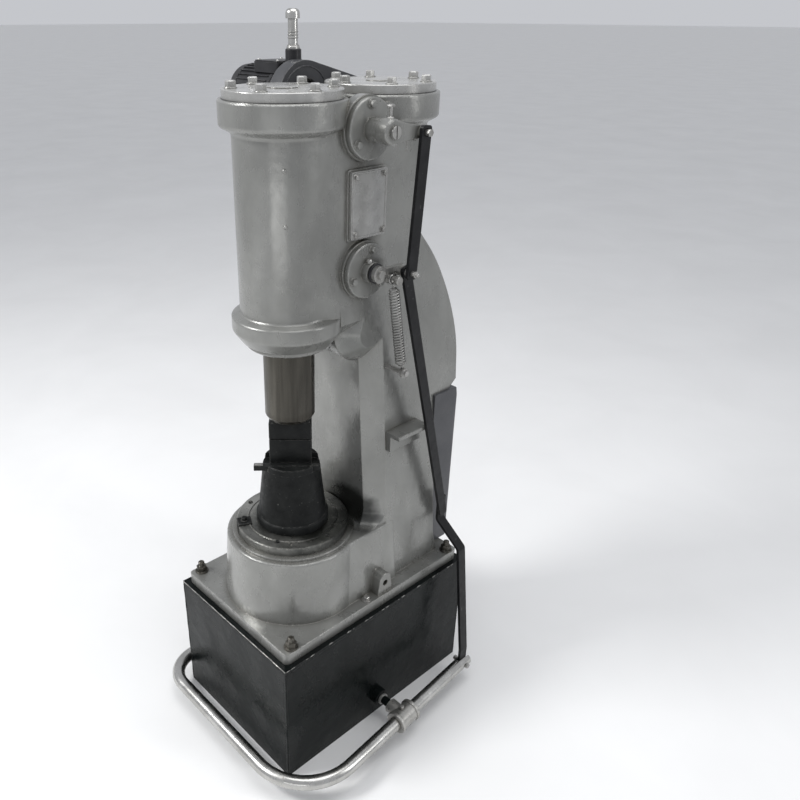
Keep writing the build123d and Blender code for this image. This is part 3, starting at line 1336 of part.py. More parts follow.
with BuildPart() as drive_belt:
    with BuildSketch(Plane.YZ.offset(DRIVE_IN_X - BELT_INSET)):
        with Locations((MOTOR_Y, MOTOR_Z)):
            Circle(MOTOR_PULLEY_R + BELT_T)
        with Locations((FLYWHEEL_Y, FLYWHEEL_Z)):
            Circle(FLYWHEEL_R + BELT_T)
        make_hull()
    extrude(amount=2 * BELT_INSET - DRIVE_W)
    with BuildSketch(Plane.YZ.offset(DRIVE_IN_X)):
        with Locations((MOTOR_Y, MOTOR_Z)):
            Circle(MOTOR_PULLEY_R)
        with Locations((FLYWHEEL_Y, FLYWHEEL_Z)):
            Circle(FLYWHEEL_R)
        make_hull()
    extrude(amount=-DRIVE_W, mode=Mode.SUBTRACT)
drive_belt.part.label = "drive_belt"
export_step(drive_belt.part, "parts/drive_belt.step")

with BuildPart() as belt_guard:
    with BuildSketch(Plane.YZ.offset(GUARD_IN_X)):
        with Locations((MOTOR_Y, MOTOR_Z)):
            Circle(GUARD_R)
        with Locations((GUARD_SHOULDER_Y, GUARD_SHOULDER_Z)):
            Circle(GUARD_SHOULDER_R)
        with Locations((FLYWHEEL_Y, FLYWHEEL_Z)):
            Circle(GUARD_FLYWHEEL_R)
        make_hull()
    extrude(amount=-GUARD_DEPTH)
    with BuildSketch(Plane.YZ.offset(GUARD_IN_X - GUARD_SHEET)):
        with Locations((MOTOR_Y, MOTOR_Z)):
            Circle(GUARD_R - GUARD_SHEET)
        with Locations((GUARD_SHOULDER_Y, GUARD_SHOULDER_Z)):
            Circle(GUARD_SHOULDER_R - GUARD_SHEET)
        with Locations((FLYWHEEL_Y, FLYWHEEL_Z)):
            Circle(GUARD_FLYWHEEL_R - GUARD_SHEET)
        make_hull()
    extrude(amount=2 * GUARD_SHEET - GUARD_DEPTH, mode=Mode.SUBTRACT)
    with Locations(Location((GUARD_IN_X, MOTOR_Y, MOTOR_Z), (0, 90, 0))):
        Cylinder(GUARD_WINDOW_R, 4 * GUARD_SHEET, mode=Mode.SUBTRACT)
    with Locations(Location((GUARD_OUT_X, MOTOR_Y, MOTOR_Z), (0, 90, 0))):
        Cylinder(
            MOTOR_SHAFT_R + GUARD_SHAFT_SPACE,
            4 * GUARD_SHEET,
            mode=Mode.SUBTRACT,
        )
    with Locations(Location((GUARD_IN_X, FLYWHEEL_Y, FLYWHEEL_Z), (0, 90, 0))):
        Cylinder(
            FLYWHEEL_SHAFT_R + GUARD_SHAFT_SPACE,
            4 * GUARD_SHEET,
            mode=Mode.SUBTRACT,
        )
    add(motor_bracket.part, mode=Mode.SUBTRACT)
belt_guard.part.label = "belt_guard"
export_step(belt_guard.part, "parts/belt_guard.step")
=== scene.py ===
import json
from math import acos, cos, pi, radians, sin

import bmesh
import bpy
from mathutils import Matrix, Vector


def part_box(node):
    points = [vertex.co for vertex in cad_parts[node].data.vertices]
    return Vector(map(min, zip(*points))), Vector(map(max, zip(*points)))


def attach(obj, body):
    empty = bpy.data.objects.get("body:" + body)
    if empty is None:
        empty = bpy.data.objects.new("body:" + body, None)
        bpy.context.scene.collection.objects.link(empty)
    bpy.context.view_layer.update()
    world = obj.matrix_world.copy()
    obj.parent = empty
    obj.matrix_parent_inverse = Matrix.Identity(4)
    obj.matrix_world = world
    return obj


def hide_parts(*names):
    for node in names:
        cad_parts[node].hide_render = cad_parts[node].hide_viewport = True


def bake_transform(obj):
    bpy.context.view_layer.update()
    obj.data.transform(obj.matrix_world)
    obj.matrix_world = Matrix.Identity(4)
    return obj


# Looks of the air forging hammer. Metres, +Z up, front towards -Y, valve side towards +X.
# The small fasteners, spring coils, turned dies, welds, fins and every finish are made here.

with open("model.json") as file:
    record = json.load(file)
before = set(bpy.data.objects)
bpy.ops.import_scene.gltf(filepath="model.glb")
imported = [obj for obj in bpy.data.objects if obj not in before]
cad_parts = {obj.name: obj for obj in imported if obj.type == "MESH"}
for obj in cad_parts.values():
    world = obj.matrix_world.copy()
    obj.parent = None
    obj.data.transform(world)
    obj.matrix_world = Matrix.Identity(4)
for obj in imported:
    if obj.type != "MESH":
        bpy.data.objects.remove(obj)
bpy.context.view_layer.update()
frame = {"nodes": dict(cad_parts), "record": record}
NODES = frame["nodes"]

MM = 0.001
UP = (0, 0, 1)
DOWN = (0, 0, -1)
RIGHT = (1, 0, 0)
LEFT = (-1, 0, 0)
BACK = (0, 1, 0)

# Camera, from above, in front and to the right, with its place in metres and its turns in degrees
CAMERA_AT = (1.2259, -0.9844, 1.6820)
CAMERA_YAW = 48.2
CAMERA_PITCH = -27.44
CAMERA_ROLL = -0.08
SENSOR = 36.0
FOCAL_PIXELS = 768.58
IMAGE_SIZE = 800.0
CENTRE_X = 326.8
CENTRE_Y = 411.25

# Soft studio: colour and strength of the sky, size of the floor, and the area lights,
# each with its place, its target, its two side lengths and its power in watts
SKY = (0.93, 0.95, 1.0, 1.0)
SKY_STRENGTH = 0.60
FLOOR_SIZE = 240.0
FLOOR_FINISH = {
    "dark": (0.80, 0.80, 0.795),
    "light": (0.84, 0.84, 0.835),
    "rough": (0.6, 0.75),
    "mottle": 1.5,
}
LIGHTS = {
    "key": ((-1.5, -2.4, 3.3), (0, 0, 0.9), (1.1, 0.9), 108),
    "side": ((2.6, 1.4, 2.3), (0.1, 0.1, 0.9), (0.5, 2.0), 20),
    "top": ((0.3, 0.2, 3.6), (0, 0.1, 1.0), (2.0, 2.0), 34),
    "low": ((1.6, -2.2, 0.7), (0.1, 0, 0.5), (1.6, 0.5), 4),
}


def add_camera():
    data = bpy.data.cameras.new("view")
    data.sensor_width = SENSOR
    data.lens = FOCAL_PIXELS / IMAGE_SIZE * SENSOR
    data.shift_x = (IMAGE_SIZE / 2 - CENTRE_X) / IMAGE_SIZE
    data.shift_y = (CENTRE_Y - IMAGE_SIZE / 2) / IMAGE_SIZE
    data.clip_start = 0.05
    camera = bpy.data.objects.new("view", data)
    camera.location = CAMERA_AT
    camera.rotation_euler = (radians(90 + CAMERA_PITCH), radians(CAMERA_ROLL), radians(CAMERA_YAW))
    bpy.context.scene.collection.objects.link(camera)
    bpy.context.scene.camera = camera


def add_area_light(name, at, target, size, power):
    data = bpy.data.lights.new(name, "AREA")
    data.shape = "RECTANGLE"
    data.size = size[0]
    data.size_y = size[1]
    data.energy = power
    light = bpy.data.objects.new(name, data)
    light.location = at
    aim = Vector(target) - Vector(at)
    light.rotation_euler = aim.to_track_quat("-Z", "Y").to_euler()
    bpy.context.scene.collection.objects.link(light)


def add_studio():
    world = bpy.data.worlds.new("studio")
    bpy.context.scene.world = world
    world.use_nodes = True
    background = world.node_tree.nodes["Background"]
    background.inputs["Color"].default_value = SKY
    background.inputs["Strength"].default_value = SKY_STRENGTH
    for name, (at, target, size, power) in LIGHTS.items():
        add_area_light(name, at, target, size, power)
    bpy.ops.mesh.primitive_plane_add(size=FLOOR_SIZE, location=(0, 0, 0))
    floor = bpy.context.object
    floor.name = "floor"
    floor.data.materials.append(coat("floor_paint", **FLOOR_FINISH))


# Materials

# Noise levels between which each effect fades in, and the scales of its noise
PATCH_SPAN = (0.32, 0.68)
GLOSS_SPAN = (0.35, 0.65)
GLOSS_SCALE = 2.7
CHIP_SPAN = (0.42, 0.58)
CHIP_SCALE = 90.0
WAVE_SCALE = 17.0
STAIN_AND_SHADE_EDGE_SPAN = (0.3, 0.7)
STAIN_AND_SHADE_EDGE_SCALE = 16.0
STAIN_AND_SHADE_EDGE_SHIFT = 0.16
SPECK_EDGE = 0.04
COAT_ROUGHNESS = 0.12

# Levels between which an edge counts as worn and a corner gets painted shade, and the samples of each
EDGE_SPAN = (0.99, 0.80)
EDGE_SAMPLES = 4
HOLLOW_SPAN = (0.85, 0.25)
HOLLOW_SAMPLES = 6

# Colour sockets of the Mix node
MIX_INPUTS = (6, 7)
MIX_OUTPUT = 2


class Graph:
    """Short calls that add shader nodes to one material."""

    def __init__(self, name):
        self.material = bpy.data.materials.new(name)
        self.material.use_nodes = True
        tree = self.material.node_tree
        self.nodes = tree.nodes
        self.links = tree.links
        self.shader = tree.nodes["Principled BSDF"]
        self.coords = tree.nodes.new("ShaderNodeTexCoord").outputs["Object"]

    def link(self, source, target):
        self.links.new(source, target)

    def noise(self, scale, detail=3.0, roughness=0.55, stretch=(1, 1, 1), distortion=0.0):
        mapping = self.nodes.new("ShaderNodeMapping")
        mapping.inputs["Scale"].default_value = stretch
        self.link(self.coords, mapping.inputs["Vector"])
        texture = self.nodes.new("ShaderNodeTexNoise")
        texture.inputs["Scale"].default_value = scale
        texture.inputs["Detail"].default_value = detail
        texture.inputs["Roughness"].default_value = roughness
        texture.inputs["Distortion"].default_value = distortion
        self.link(mapping.outputs["Vector"], texture.inputs["Vector"])
        return texture.outputs["Fac"]

    def spread(self, value, low, high, to_low=0.0, to_high=1.0):
        node = self.nodes.new("ShaderNodeMapRange")
        node.inputs["From Min"].default_value = low
        node.inputs["From Max"].default_value = high
        node.inputs["To Min"].default_value = to_low
        node.inputs["To Max"].default_value = to_high
        self.link(value, node.inputs["Value"])
        return node.outputs["Result"]

    def math(self, kind, a, b):
        node = self.nodes.new("ShaderNodeMath")
        node.operation = kind
        for socket, value in zip(node.inputs, (a, b)):
            if isinstance(value, (int, float)):
                socket.default_value = value
            else:
                self.link(value, socket)
        return node.outputs["Value"]

    def mix(self, factor, a, b):
        node = self.nodes.new("ShaderNodeMix")
        node.data_type = "RGBA"
        self.link(factor, node.inputs["Factor"])
        for index, value in zip(MIX_INPUTS, (a, b)):
            socket = node.inputs[index]
            if isinstance(value, tuple):
                socket.default_value = (*value, 1.0)
            else:
                self.link(value, socket)
        return node.outputs[MIX_OUTPUT]

    def edges(self, radius):
        """Rounded normal, and a mask that is high where the surface turns within radius."""
        bevel = self.nodes.new("ShaderNodeBevel")
        bevel.samples = EDGE_SAMPLES
        bevel.inputs["Radius"].default_value = radius
        geometry = self.nodes.new("ShaderNodeNewGeometry")
        dot = self.nodes.new("ShaderNodeVectorMath")
        dot.operation = "DOT_PRODUCT"
        self.link(bevel.outputs["Normal"], dot.inputs[0])
        self.link(geometry.outputs["Normal"], dot.inputs[1])
        return bevel.outputs["Normal"], self.spread(dot.outputs["Value"], *EDGE_SPAN)

    def hollows(self, distance):
        """Mask that is high in corners and under overhangs."""
        node = self.nodes.new("ShaderNodeAmbientOcclusion")
        node.samples = HOLLOW_SAMPLES
        node.inputs["Distance"].default_value = distance
        return self.spread(node.outputs["AO"], *HOLLOW_SPAN)

    def near(self, centre, radii, soft=0.5):
        """Mask round a place, fading out at the given radii in metres."""
        shift = self.nodes.new("ShaderNodeVectorMath")
        shift.operation = "SUBTRACT"
        shift.inputs[1].default_value = centre
        self.link(self.coords, shift.inputs[0])
        scale = self.nodes.new("ShaderNodeVectorMath")
        scale.operation = "DIVIDE"
        scale.inputs[1].default_value = radii
        self.link(shift.outputs["Vector"], scale.inputs[0])
        length = self.nodes.new("ShaderNodeVectorMath")
        length.operation = "LENGTH"
        self.link(scale.outputs["Vector"], length.inputs[0])
        ripple = self.noise(STAIN_AND_SHADE_EDGE_SCALE, 3.0)
        wobble = self.spread(ripple, *STAIN_AND_SHADE_EDGE_SPAN, -STAIN_AND_SHADE_EDGE_SHIFT, STAIN_AND_SHADE_EDGE_SHIFT)
        return self.spread(self.math("ADD", length.outputs["Value"], wobble), 1.0, 1.0 - soft)

    def bump(self, height, distance, normal=None):
        node = self.nodes.new("ShaderNodeBump")
        node.inputs["Strength"].default_value = 1.0
        node.inputs["Distance"].default_value = distance
        self.link(height, node.inputs["Height"])
        if normal is not None:
            self.link(normal, node.inputs["Normal"])
        return node.outputs["Normal"]


def coat(
    name,
    dark,
    light,
    rough=(0.3, 0.45),
    metal=0.0,
    mottle=9.0,
    grain=420.0,
    grain_depth=0.0,
    wave=0.0,
    stretch=(1, 1, 1),
    edge=0.0,
    edge_color=None,
    edge_amount=0.5,
    hollow_shade=None,
    hollow_shade_reach=0.03,
    clear=0.0,
    shine=0.5,
    stains_and_shading=(),
    specks=None,
):
    """Procedural finish: mottled colour, uneven gloss, fine grain, worn edges, painted shade in hollows,
    and stains with patches of painted light and shadow.

    rough is the range of roughness, and mottle and grain are noise scales. grain_depth and wave
    are bump heights, and edge is the width of worn edges. The hollow colour is painted shade in
    corners and under overhangs, as far as its reach. A stain is a colour, a centre, radii, the
    softness of its rim and its strength; some stains are painted light and painted shadow. specks
    are a colour, a noise level and a scale.
    """
    graph = Graph(name)
    shader = graph.shader
    shader.inputs["Metallic"].default_value = metal
    shader.inputs["Specular IOR Level"].default_value = shine
    if clear:
        shader.inputs["Coat Weight"].default_value = clear
        shader.inputs["Coat Roughness"].default_value = COAT_ROUGHNESS
    patches = graph.noise(mottle, 4.0, 0.6, stretch, 0.4)
    color = graph.mix(graph.spread(patches, *PATCH_SPAN), dark, light)
    gloss = graph.noise(mottle * GLOSS_SCALE, 5.0, 0.6, stretch)
    roughness = graph.spread(gloss, *GLOSS_SPAN, *rough)
    normal = None
    if edge:
        normal, rim = graph.edges(edge)
        if edge_color:
            chipped = graph.spread(graph.noise(CHIP_SCALE, 4.0, 0.7), *CHIP_SPAN)
            worn = graph.math("MULTIPLY", graph.math("MULTIPLY", rim, chipped), edge_amount)
            color = graph.mix(worn, color, edge_color)
    if specks:
        speck_color, low, scale = specks
        dots = graph.spread(graph.noise(scale, 2.0, 0.5), low, low + SPECK_EDGE)
        color = graph.mix(dots, color, speck_color)
    # Painted shade: the colour darkens in corners and under overhangs
    if hollow_shade:
        color = graph.mix(graph.hollows(hollow_shade_reach), color, hollow_shade)
    # Stains, and patches of painted light and shadow, each fading out round its centre
    for stain_and_shade_color, centre, radii, soft, amount in stains_and_shading:
        mask = graph.math("MULTIPLY", graph.near(centre, radii, soft), amount)
        color = graph.mix(mask, color, stain_and_shade_color)
    if wave:
        normal = graph.bump(graph.noise(WAVE_SCALE, 2.0, 0.5), wave, normal)
    if grain_depth:
        normal = graph.bump(graph.noise(grain, 3.0, 0.6, stretch), grain_depth, normal)
    graph.link(color, shader.inputs["Base Color"])
    graph.link(roughness, shader.inputs["Roughness"])
    if normal is not None:
        graph.link(normal, shader.inputs["Normal"])
    return graph.material


# Near black for oil and for painted shadow, and a dark grey-brown for grime stains and for painted shade
# in hollows
OIL_AND_SHADOW = (0.012, 0.013, 0.011)
GRIME_AND_SHADE = (0.10, 0.095, 0.08)

FINISHES = {
    "casting_paint": dict(
        dark=(0.200, 0.201, 0.190),
        light=(0.290, 0.291, 0.277),
        rough=(0.22, 0.36),
        metal=0.5,
        mottle=7.0,
        grain=330.0,
        grain_depth=0.00022,
        wave=0.0022,
        stretch=(1, 1, 0.55),
        edge=0.004,
        edge_color=(0.55, 0.54, 0.51),
        edge_amount=0.45,
        # Painted shade in the hollows of the casting
        hollow_shade=GRIME_AND_SHADE,
        hollow_shade_reach=0.022,
        clear=0.25,
        stains_and_shading=(
            # Painted shadow of the sow block and dies on the foot of the column, dark with oil as well
            (OIL_AND_SHADOW, (0.060, 0.135, 0.586), (0.100, 0.075, 0.052), 0.35, 0.93),
            (OIL_AND_SHADOW, (0.128, 0.118, 0.566), (0.060, 0.070, 0.026), 0.5, 0.75),
            (GRIME_AND_SHADE, (0.0, -0.02, 0.552), (0.165, 0.165, 0.018), 0.6, 0.5),
            # Darker under the front cylinder, round the ram
            (GRIME_AND_SHADE, (0.0, -0.01, 1.045), (0.085, 0.085, 0.03), 0.6, 0.7),
            (GRIME_AND_SHADE, (0.175, 0.137, 0.400), (0.05, 0.06, 0.055), 0.7, 0.35),
            # Painted shade on the haunch under the belly of the front cylinder
            ((0.10, 0.105, 0.10), (0.100, 0.098, 1.035), (0.055, 0.050, 0.040), 0.8, 0.6),
        ),
    ),
    "cover_paint": dict(
        dark=(0.30, 0.299, 0.288),
        light=(0.44, 0.438, 0.425),
        rough=(0.20, 0.32),
        metal=0.45,
        mottle=11.0,
        grain=380.0,
        grain_depth=0.00012,
        wave=0.0010,
        edge=0.002,
        edge_color=(0.7, 0.69, 0.66),
        # Painted shade in the hollows round the covers
        hollow_shade=GRIME_AND_SHADE,
        hollow_shade_reach=0.012,
        clear=0.2,
    ),
    "ram_steel": dict(
        dark=(0.045, 0.042, 0.036),
        light=(0.115, 0.108, 0.092),
        rough=(0.24, 0.44),
        metal=0.85,
        mottle=26.0,
        grain=520.0,
        grain_depth=0.00008,
        stretch=(1, 1, 0.07),
        edge=0.002,
        edge_color=(0.34, 0.33, 0.30),
        stains_and_shading=(((0.03, 0.026, 0.02), (0.0, 0.0, 0.868), (0.08, 0.08, 0.022), 0.6, 0.7),),
    ),
    "die_steel": dict(
        dark=(0.005, 0.0055, 0.0055),
        light=(0.014, 0.015, 0.0145),
        rough=(0.34, 0.58),
        shine=0.14,
        mottle=24.0,
        grain=260.0,
        grain_depth=0.00035,
        edge=0.0025,
        edge_color=(0.20, 0.195, 0.18),
        edge_amount=0.7,
        specks=((0.07, 0.07, 0.066), 0.71, 150.0),
    ),
    "anvil_iron": dict(
        dark=(0.060, 0.062, 0.057),
        light=(0.170, 0.170, 0.158),
        rough=(0.24, 0.46),
        metal=0.6,
        mottle=20.0,
        grain=200.0,
        grain_depth=0.0004,
        edge=0.0035,
        edge_color=(0.55, 0.53, 0.48),
        edge_amount=0.9,
        specks=((0.30, 0.29, 0.26), 0.68, 95.0),
        stains_and_shading=(
            # Painted light: the lit left part of the disc top
            ((0.36, 0.36, 0.34), (-0.105, -0.040, 0.577), (0.055, 0.095, 0.03), 0.7, 0.7),
            # Painted shadow of the sow block round its foot and over the right part of the disc top
            (OIL_AND_SHADOW, (0.0, 0.0, 0.577), (0.112, 0.112, 0.03), 0.25, 0.8),
            (OIL_AND_SHADOW, (0.095, 0.050, 0.577), (0.080, 0.110, 0.03), 0.4, 0.9),
        ),
    ),
    "bright_steel": dict(
        dark=(0.27, 0.265, 0.25),
        light=(0.43, 0.425, 0.41),
        rough=(0.26, 0.38),
        metal=0.8,
        mottle=30.0,
        edge=0.001,
        edge_color=(0.7, 0.7, 0.68),
        edge_amount=0.3,
    ),
    "spring_steel": dict(
        dark=(0.26, 0.255, 0.245),
        light=(0.42, 0.415, 0.40),
        rough=(0.22, 0.34),
        metal=0.85,
        mottle=9.0,
        # Painted shade in the gaps between the coils
        hollow_shade=(0.012, 0.011, 0.010),
        hollow_shade_reach=0.012,
    ),
    "black_bar": dict(
        dark=(0.004, 0.004, 0.0048),
        light=(0.011, 0.011, 0.012),
        rough=(0.3, 0.5),
        shine=0.25,
        mottle=22.0,
        grain=300.0,
        grain_depth=0.00018,
        edge=0.0014,
        edge_color=(0.06, 0.06, 0.06),
        edge_amount=0.5,
        specks=((0.08, 0.08, 0.078), 0.72, 110.0),
    ),
    "treadle_chrome": dict(
        dark=(0.40, 0.395, 0.375),
        light=(0.58, 0.575, 0.555),
        rough=(0.20, 0.32),
        metal=1.0,
        mottle=12.0,
        # Painted shade in the hollows of the treadle
        hollow_shade=(0.06, 0.055, 0.045),
        hollow_shade_reach=0.008,
        specks=((0.22, 0.20, 0.17), 0.73, 90.0),
    ),
    "fitting_metal": dict(
        dark=(0.33, 0.325, 0.305),
        light=(0.50, 0.49, 0.465),
        rough=(0.26, 0.40),
        metal=0.8,
        mottle=30.0,
        grain=260.0,
        grain_depth=0.00015,
        edge=0.002,
        edge_color=(0.75, 0.74, 0.7),
        # Painted shade in the hollows of the fittings
        hollow_shade=(0.06, 0.055, 0.045),
        hollow_shade_reach=0.01,
    ),
    "stand_paint": dict(
        dark=(0.0020, 0.0030, 0.0030),
        light=(0.0055, 0.0075, 0.0072),
        rough=(0.20, 0.36),
        shine=0.13,
        mottle=5.0,
        grain=240.0,
        grain_depth=0.00008,
        wave=0.0016,
        stretch=(1, 1, 0.7),
        edge=0.003,
        edge_color=(0.09, 0.09, 0.086),
        edge_amount=0.5,
        stains_and_shading=(
            ((0.035, 0.036, 0.034), (0.214, 0.10, 0.02), (0.03, 0.35, 0.035), 0.8, 0.4),
            ((0.035, 0.036, 0.034), (0.0, -0.203, 0.02), (0.25, 0.03, 0.035), 0.8, 0.4),
        ),
    ),
    "motor_paint": dict(
        dark=(0.008, 0.008, 0.009),
        light=(0.020, 0.020, 0.022),
        rough=(0.3, 0.45),
        shine=0.35,
        mottle=14.0,
        grain=300.0,
        grain_depth=0.0002,
        edge=0.002,
        edge_color=(0.13, 0.13, 0.13),
    ),
    "pulley_metal": dict(
        dark=(0.20, 0.195, 0.185),
        light=(0.42, 0.41, 0.39),
        rough=(0.22, 0.4),
        metal=0.8,
        mottle=30.0,
        grain=300.0,
        grain_depth=0.0002,
        edge=0.002,
    ),
    "belt_rubber": dict(
        dark=(0.012, 0.012, 0.012),
        light=(0.035, 0.034, 0.033),
        rough=(0.5, 0.75),
        mottle=40.0,
        grain=400.0,
        grain_depth=0.0002,
    ),
    "guard_paint": dict(
        dark=(0.030, 0.031, 0.034),
        light=(0.055, 0.056, 0.060),
        rough=(0.28, 0.42),
        shine=0.35,
        mottle=9.0,
        grain=260.0,
        grain_depth=0.00015,
        wave=0.001,
        edge=0.003,
        edge_color=(0.30, 0.30, 0.30),
        edge_amount=0.6,
    ),
    # Dark grey sheet; its darkness also stands as painted shade for the lower rear of the column
    "rear_cover_paint": dict(
        dark=(0.040, 0.041, 0.046),
        light=(0.075, 0.076, 0.082),
        rough=(0.28, 0.42),
        shine=0.35,
        mottle=6.0,
        grain=260.0,
        grain_depth=0.00015,
        wave=0.0018,
        edge=0.003,
        edge_color=(0.22, 0.22, 0.22),
        clear=0.2,
    ),
}


def dress_nodes():
    for part in frame["record"]["subparts"]:
        mesh = NODES[part["node"]].data
        mesh.materials.clear()
        mesh.materials.append(FINISH[part["material_slot"]])


# Mesh helpers


def place(at, axis=UP, spin=0.0):
    """Matrix that puts the local +Z axis along axis at a point."""
    turn = Vector(axis).to_track_quat("Z", "Y").to_matrix().to_4x4()
    return Matrix.Translation(Vector(at)) @ turn @ Matrix.Rotation(spin, 4, "Z")


def add_rings(bm, rings):
    """Skins consecutive rings of points, and caps both ends."""
    loops = [[bm.verts.new(point) for point in ring] for ring in rings]
    count = len(loops[0])
    for low, high in zip(loops, loops[1:]):
        for i in range(count):
            j = (i + 1) % count
            bm.faces.new((low[i], low[j], high[j], high[i]))
    bm.faces.new(list(reversed(loops[0])))
    bm.faces.new(loops[-1])


def add_lathe(bm, matrix, profile, sides=24):
    """Turned solid from (radius, height) pairs, bottom to top, with flat ends."""
    angles = [2 * pi * i / sides for i in range(sides)]
    rings = []
    for radius, height in profile:
        rings.append([matrix @ Vector((radius * cos(a), radius * sin(a), height)) for a in angles])
    add_rings(bm, rings)


HEX_CHAMFER = 0.16
HEX_CROWN = 0.96
WASHER_EDGE = 0.3
SEAT = 0.4 * MM

# Hexagon heads: width over flats, height, and where there is a washer its radius and height
HEADS = {
    "cover": (18 * MM, 11.5 * MM, 12.5 * MM, 2.2 * MM),
    "flange": (13 * MM, 8 * MM, 9.5 * MM, 1.6 * MM),
    "plate": (9 * MM, 5 * MM, 7.5 * MM, 1.2 * MM),
    "foot_nut": (24 * MM, 14 * MM, 17 * MM, 3 * MM),
    "foot_bolt": (14 * MM, 8 * MM, 12 * MM, 2 * MM),
    "clamp": (13 * MM, 8 * MM, 9 * MM, 1.5 * MM),
    "anchor": (13 * MM, 6 * MM, 9 * MM, 1.2 * MM),
    "motor_foot": (13 * MM, 7 * MM, 9 * MM, 1.5 * MM),
    "guard": (9 * MM, 3 * MM, 8 * MM, 1.0 * MM),
    "pin": (13 * MM, 5 * MM, 0.0, 0.0),
    "pin_wide": (15 * MM, 6 * MM, 0.0, 0.0),
    "heel": (13 * MM, 6 * MM, 0.0, 0.0),
    "hub": (9 * MM, 8 * MM, 0.0, 0.0),
    "tee": (10 * MM, 5 * MM, 0.0, 0.0),
}


def add_bolt(bm, at, axis, kind, spin=0.0):
    """Hexagon head or nut with a turned chamfer on its top, on a washer where it has one."""
    flats, head, washer, washer_h = HEADS[kind]
    matrix = place(at, axis, spin)
    if washer:
        edge = washer_h * WASHER_EDGE
        add_lathe(bm, matrix, ((washer, -SEAT), (washer, washer_h - edge), (washer - edge, washer_h)), 28)
    radius = flats / 2 / cos(pi / 6)
    chamfer = head * HEX_CHAMFER
    levels = (
        (radius, washer_h),
        (radius, washer_h + head - chamfer),
        (flats / 2 * HEX_CROWN, washer_h + head),
    )
    add_lathe(bm, matrix, levels, 6)


# Shares of a thread's radius at its root, its run-out and its tip
THREAD_ROOT = 0.9
THREAD_RUNOUT = 0.88
THREAD_TIP = 0.7
TIP_LENGTH = 1.2 * MM
THREAD_SINK = 1 * MM


def add_stud(bm, at, axis, radius, reach, pitch=1.7 * MM):
    """Threaded end that stands out of a nut."""
    profile = [(radius * THREAD_ROOT, -THREAD_SINK)]
    turns = int(reach / pitch)
    for i in range(turns):
        profile.append((radius * THREAD_ROOT, i * pitch))
        profile.append((radius, i * pitch + pitch * 0.5))
    profile.append((radius * THREAD_RUNOUT, turns * pitch))
    profile.append((radius * THREAD_TIP, turns * pitch + TIP_LENGTH))
    add_lathe(bm, place(at, axis), profile, 20)


# Cheese-head screws: radius and height. Then shares of the radius for half the slot and the
# crown, shares of the height for the shoulder, and both for the floor of the slot
SCREWS = {
    "disc": (5.5 * MM, 2.2 * MM),
    "lid": (3.6 * MM, 2.2 * MM),
    "rear": (5 * MM, 2.4 * MM),
}
SCREW_SLOT = 0.16
SCREW_CROWN = 0.86
SCREW_SHOULDER = 0.6
SCREW_FLOOR = (0.94, 0.45)
SCREW_SINK = 0.3 * MM
SCREW_STEPS = 12


def add_screw(bm, at, axis, kind, slot_turn=0.0):
    """Cheese-head screw: a domed disc with a slot cut by leaving a gap between its halves."""
    radius, height = SCREWS[kind]
    matrix = place(at, axis, slot_turn)
    gap = radius * SCREW_SLOT
    for side in (1, -1):
        rings = []
        for scale, level in ((1.0, -SCREW_SINK), (1.0, height * SCREW_SHOULDER), (SCREW_CROWN, height)):
            ring = []
            for i in range(SCREW_STEPS + 1):
                angle = pi * i / SCREW_STEPS
                x = radius * scale * cos(angle)
                y = gap + (radius * scale - gap) * sin(angle)
                ring.append(matrix @ Vector((x * side, y * side, level)))
            rings.append(ring)
        add_rings(bm, rings)
    core = radius * SCREW_FLOOR[0]
    add_lathe(bm, matrix, ((core, -SCREW_SINK), (core, height * SCREW_FLOOR[1])), 24)


def add_tube(bm, points, radius, sides=10, radii=None):
    """Round rod through a list of points, with one radius or a radius for each point."""
    rings = []
    last_normal = None
    for i, point in enumerate(points):
        before = points[max(i - 1, 0)]
        after = points[min(i + 1, len(points) - 1)]
        along = (Vector(after) - Vector(before)).normalized()
        if last_normal is None:
            helper = Vector(RIGHT if abs(along.x) < 0.8 else BACK)
            normal = along.cross(helper).normalized()
        else:
            normal = (last_normal - along * last_normal.dot(along)).normalized()
        last_normal = normal
        cross = along.cross(normal)
        size = radii[i] if radii else radius
        angles = [2 * pi * k / sides for k in range(sides)]
        rings.append(
            [Vector(point) + normal * size * cos(a) + cross * size * sin(a) for a in angles]
        )
    add_rings(bm, rings)


def add_block(bm, low, high, edge=0.001, matrix=None):
    """Box with small chamfers on all its edges."""
    low = Vector(low)
    high = Vector(high)
    part = bmesh.new()
    bmesh.ops.create_cube(part, size=1.0)
    for vert in part.verts:
        for axis in range(3):
            vert.co[axis] = low[axis] if vert.co[axis] < 0 else high[axis]
    bmesh.ops.bevel(part, geom=part.edges[:], offset=edge, segments=2, profile=0.5, affect="EDGES")
    copy = {}
    for vert in part.verts:
        point = matrix @ vert.co if matrix else vert.co.copy()
        copy[vert] = bm.verts.new(point)
    for face in part.faces:
        bm.faces.new([copy[vert] for vert in face.verts])
    part.free()


# Angles above which an edge stays sharp, on plain pieces, on beads, and on wire and welds
SHARP = 32.0
SHARP_BEAD = 60.0
SHARP_WIRE = 80.0


def piece(name, bm, body, slot, sharp=SHARP):
    """Turns a bmesh into an object with the finish of a slot, which rides on a body if one is given."""
    bmesh.ops.recalc_face_normals(bm, faces=bm.faces[:])
    mesh = bpy.data.meshes.new(name)
    bm.to_mesh(mesh)
    bm.free()
    for face in mesh.polygons:
        face.use_smooth = True
    mesh.set_sharp_from_angle(angle=radians(sharp))
    mesh.materials.append(FINISH[slot])
    made = bpy.data.objects.new(name, mesh)
    bpy.context.scene.collection.objects.link(made)
    if body:
        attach(made, body)
    return made


